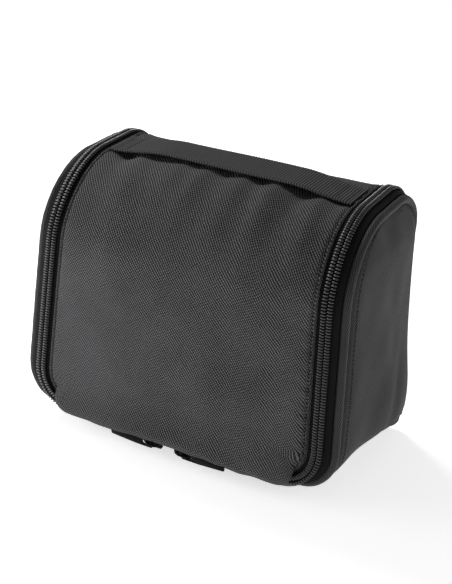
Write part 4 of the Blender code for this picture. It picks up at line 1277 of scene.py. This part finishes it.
def make_handle(skins):
    top = TOP_Z + 0.00315 - HANDLE_SINK
    half = HANDLE_END
    x = np.arange(-half, half, 0.00038)
    share = 1 - np.abs(x) / half
    rise = HANDLE_RISE * ease(share * 2.0)
    y = np.concatenate([[0, 0.0002, 0.0006], np.linspace(0.0013, HANDLE_WIDTH - 0.0013, 26),
                        HANDLE_WIDTH - np.array([0.0006, 0.0002, 0])])
    rib = np.abs(np.cos(x * math.pi / WEBBING_RIB)) ** 0.7
    edge = ease(np.minimum(y, HANDLE_WIDTH - y) / 0.0009)
    sewn = np.exp(-((share * half - 0.0035) / 0.0008) ** 2) \
        + np.exp(-((share * half - 0.0115) / 0.0008) ** 2)
    high = top + rise[:, None] + 0.0012 + (0.0001 + 0.00065 * rib[:, None]) * edge[None, :] \
        - 0.0004 * sewn[:, None] * edge[None, :]
    high = high + 0.0004 * np.sin(x * 55 + 0.6)[:, None] * (share[:, None] > 0.3) \
        * (y[None, :] / HANDLE_WIDTH - 0.4)
    grid = np.stack(np.broadcast_arrays(x[:, None], HANDLE_FRONT_Y + y[None, :], high), -1)
    strap = cloth("handle_strap", grid, grid[..., :2], 0.0014, skins["webbing"])
    if volume(strap.data) < 0:
        strap.data.flip_normals()
    ride(strap, "flap", "webbing", "handle_webbing")
    for side, word in ((-1, "left"), (1, "right")):
        for k, inset in enumerate((0.0035, 0.0115)):
            line = np.array([(side * (half - inset), HANDLE_FRONT_Y + v,
                              top + 0.0016 + HANDLE_RISE * float(ease(inset / half * 2.0)))
                             for v in np.linspace(0.0015, HANDLE_WIDTH - 0.0015, 40)])
            row = stitch_row(f"handle_stitches_{word}_{k + 1}", line,
                             np.broadcast_to((1.0, 0, 0), line.shape), skins["thread"])
            ride(row, "flap", "webbing")


def flap_layer(name, inset, height, thick, skin, body, slot, node, under):
    rows = np.arange(PIPING_S + inset + lift(inset) + 0.0002, COVER_END_S, 0.0030)
    rows = np.append(rows, COVER_END_S)
    x = outline_x(rows, inset)[:, None] * spread_columns(0.09, 0.0030)
    s = np.broadcast_to(rows[:, None], x.shape)
    face = face_height(x, s, inset_of(x, s)[0] - SEAM)
    n = np.minimum(height + bulge(x, s), face - under)
    layer = cloth(name, on_wrap(x, s, n), np.stack([x, s], -1), thick, skin, flip=True)
    return ride(layer, body, slot, node)


def lattice(name, start, end, width, height, skin, body, node, curve):
    """Real open netting: a sheet whose square holes are cut right through."""
    hole, bar = 0.0018, 0.0005

    def stops(length):
        count = round(length / (hole + bar))
        pairs = np.cumsum([0] + [bar, hole] * count + [bar])
        return pairs / pairs[-1] * length

    across, up = stops(2 * width), stops(end - start)
    x = np.broadcast_to(across - width, (len(up), len(across)))
    s = np.broadcast_to((start + up)[:, None], x.shape)
    grid = on_wrap(x, s, height + curve(x, s))
    keep = np.ones((len(up) - 1, len(across) - 1), bool)
    keep[1::2, 1::2] = False
    net = cloth(name, grid, np.stack([x, s], -1), 0.0005, skin, flip=True, keep=keep)
    ride(net, body, "mesh", node)


def ribbed_band(name, start, end, width, height, skin, body, slot, node, curve, thick=0.0012):
    rows = np.linspace(start, end, 30)
    x = np.broadcast_to(np.linspace(-width, width, 260), (30, 260))
    s = np.broadcast_to(rows[:, None], x.shape)
    gather = 0.00018 * np.sin(x * 2 * math.pi / 0.0042)
    ribs = 0.00012 * np.cos((s - start) * 2 * math.pi / 0.0016)
    grid = on_wrap(x, s, height + curve(x, s) + gather + ribs)
    strip = cloth(name, grid, np.stack([x, s], -1), thick, skin, flip=True)
    ride(strip, body, slot, node)


def make_inside(skins):
    flap_layer("flap_inner_lining", ZIP_INSET + 0.0014, LINING_HEIGHT, 0.0006, skins["lining"],
               "flap", "lining", "flap_lining", 0.0024)
    foam = flap_layer("flap_foam_sheet", ZIP_INSET + 0.0127, 0.00035, 0.0009, skins["foam"],
                      "flap", "foam", "flap_foam", 0.0012)
    pocket = LINING_HEIGHT - 0.0015
    lattice("flap_pocket_net", 0.1125, 0.1640, FLAP_POCKET_HALF_WIDTH, pocket, skins["mesh"],
            "flap", "flap_mesh_pocket", bulge)
    ribbed_band("flap_pocket_band", 0.1647, 0.1739, FLAP_POCKET_HALF_WIDTH, pocket,
                skins["elastic"], "flap", "elastic", "flap_pocket_elastic", bulge)

    def flat(x, s):
        return 0 * x

    low, high = FOLD_S + 0.135, FOLD_S + 0.062
    lattice("back_pocket_net", high + 0.0002, low, BACK_POCKET_HALF_WIDTH, BACK_POCKET_HEIGHT,
            skins["mesh"], "bag", "back_mesh_pocket", flat)
    ribbed_band("back_pocket_band", high - 0.0098, high - 0.0008, BACK_POCKET_HALF_WIDTH,
                BACK_POCKET_HEIGHT, skins["elastic"], "bag", "elastic", "back_pocket_elastic",
                flat)


def lining_face(z):
    samples = np.linspace(0.03, 0.12, 400)
    line = on_wrap(0 * samples, samples, -0.00115 - 0.0007 + bulge(0 * samples, samples))
    return float(np.interp(z, line[:, 2], line[:, 1]))


def make_hook_loop(skins):
    pivot = np.array(HOOK_PIVOT)
    loop = 0.0019 + 0.0005 + 0.0005
    line = []
    for rise in np.linspace(0.021, 0.0063, 14):
        line.append((lining_face(pivot[2] + rise) + 0.0005 + 0.0004 - pivot[1], rise))
    line.append((-loop, 0.002))
    for k in range(25):
        angle = math.pi + math.pi * 1.72 * k / 24
        line.append((loop * math.cos(angle), loop * math.sin(angle)))
    line = np.array(line)
    x = np.linspace(-0.0085, 0.0085, 36)
    centre = np.stack([np.zeros(len(line)), line[:, 0], line[:, 1]], -1) + pivot
    centre = even_line(centre, 0.0006)
    grid = centre[:, None, :] + np.stack([x, 0 * x, 0 * x], -1)[None, :, :]
    normals = sheet_normals(grid)
    ribs = 0.00010 * np.cos(np.arange(len(centre)) * 0.0006 * 2 * math.pi / WEBBING_RIB)
    grid = grid + normals * (0.0004 + ribs[:, None, None])
    uv = np.stack(np.broadcast_arrays(np.arange(len(centre))[:, None] * 0.0006, x[None, :]), -1)
    tab = cloth("hook_loop", grid, uv, 0.0008, skins["webbing"])
    if volume(tab.data) < 0:
        tab.data.flip_normals()
    ride(tab, "flap", "webbing", "hook_tab")


def make_hook(skins):
    """Hook from round bars, melted into one smooth body."""
    pivot = np.array(HOOK_PIVOT)
    frame_z, bow = -0.0085, 0.0150
    shank_end = frame_z - 0.0130
    centre_z = shank_end - bow * 0.94
    path = [(0, frame_z), (0, shank_end)]
    for k in range(41):
        angle = math.radians(70 - 250 * k / 40)
        path.append((bow * math.cos(angle), centre_z + bow * math.sin(angle)))
    bars = [([(-0.012, 0), (0.012, 0)], 0.0019), ([(-0.012, 0.001), (-0.012, frame_z)], 0.0019),
            ([(0.012, 0.001), (0.012, frame_z)], 0.0019),
            ([(-0.0128, frame_z), (0.0128, frame_z)], 0.0020), (path, 0.0022)]
    parts = []
    for points, radius in bars:
        line = even_line([(px, 0, pz) for px, pz in points], 0.0008) + pivot
        fat = np.full(len(line), radius)
        fat[0] = fat[-1] = radius * 0.55
        parts.append(sweep("bar", tube_rings(line, fat, 16), skins["acetal"], sharp=60))
    hook = join("hook_body", parts)
    remesh = hook.modifiers.new("remesh", "REMESH")
    remesh.mode = "VOXEL"
    remesh.voxel_size = 0.00045
    smooth = hook.modifiers.new("smooth", "SMOOTH")
    smooth.iterations = 4
    view = bpy.context.evaluated_depsgraph_get()
    hook.data = bpy.data.meshes.new_from_object(hook.evaluated_get(view))
    hook.modifiers.clear()
    hook.data.shade_smooth()
    ride(hook, "hook", "hook_plastic", "hook")


def main():
    add_camera()
    skins = make_skins()
    make_cover(skins)
    make_fold(skins)
    make_back(skins)
    make_band(skins)
    make_piping(skins)
    make_tapes(skins)
    make_coils(skins)
    make_end_tabs(skins)
    for side, word in ((-1, "left"), (1, "right")):
        make_slider(side, word, skins)
        make_puller(side, word, skins)
    make_handle(skins)
    make_inside(skins)
    make_hook_loop(skins)
    make_hook(skins)
    add_studio()


main()
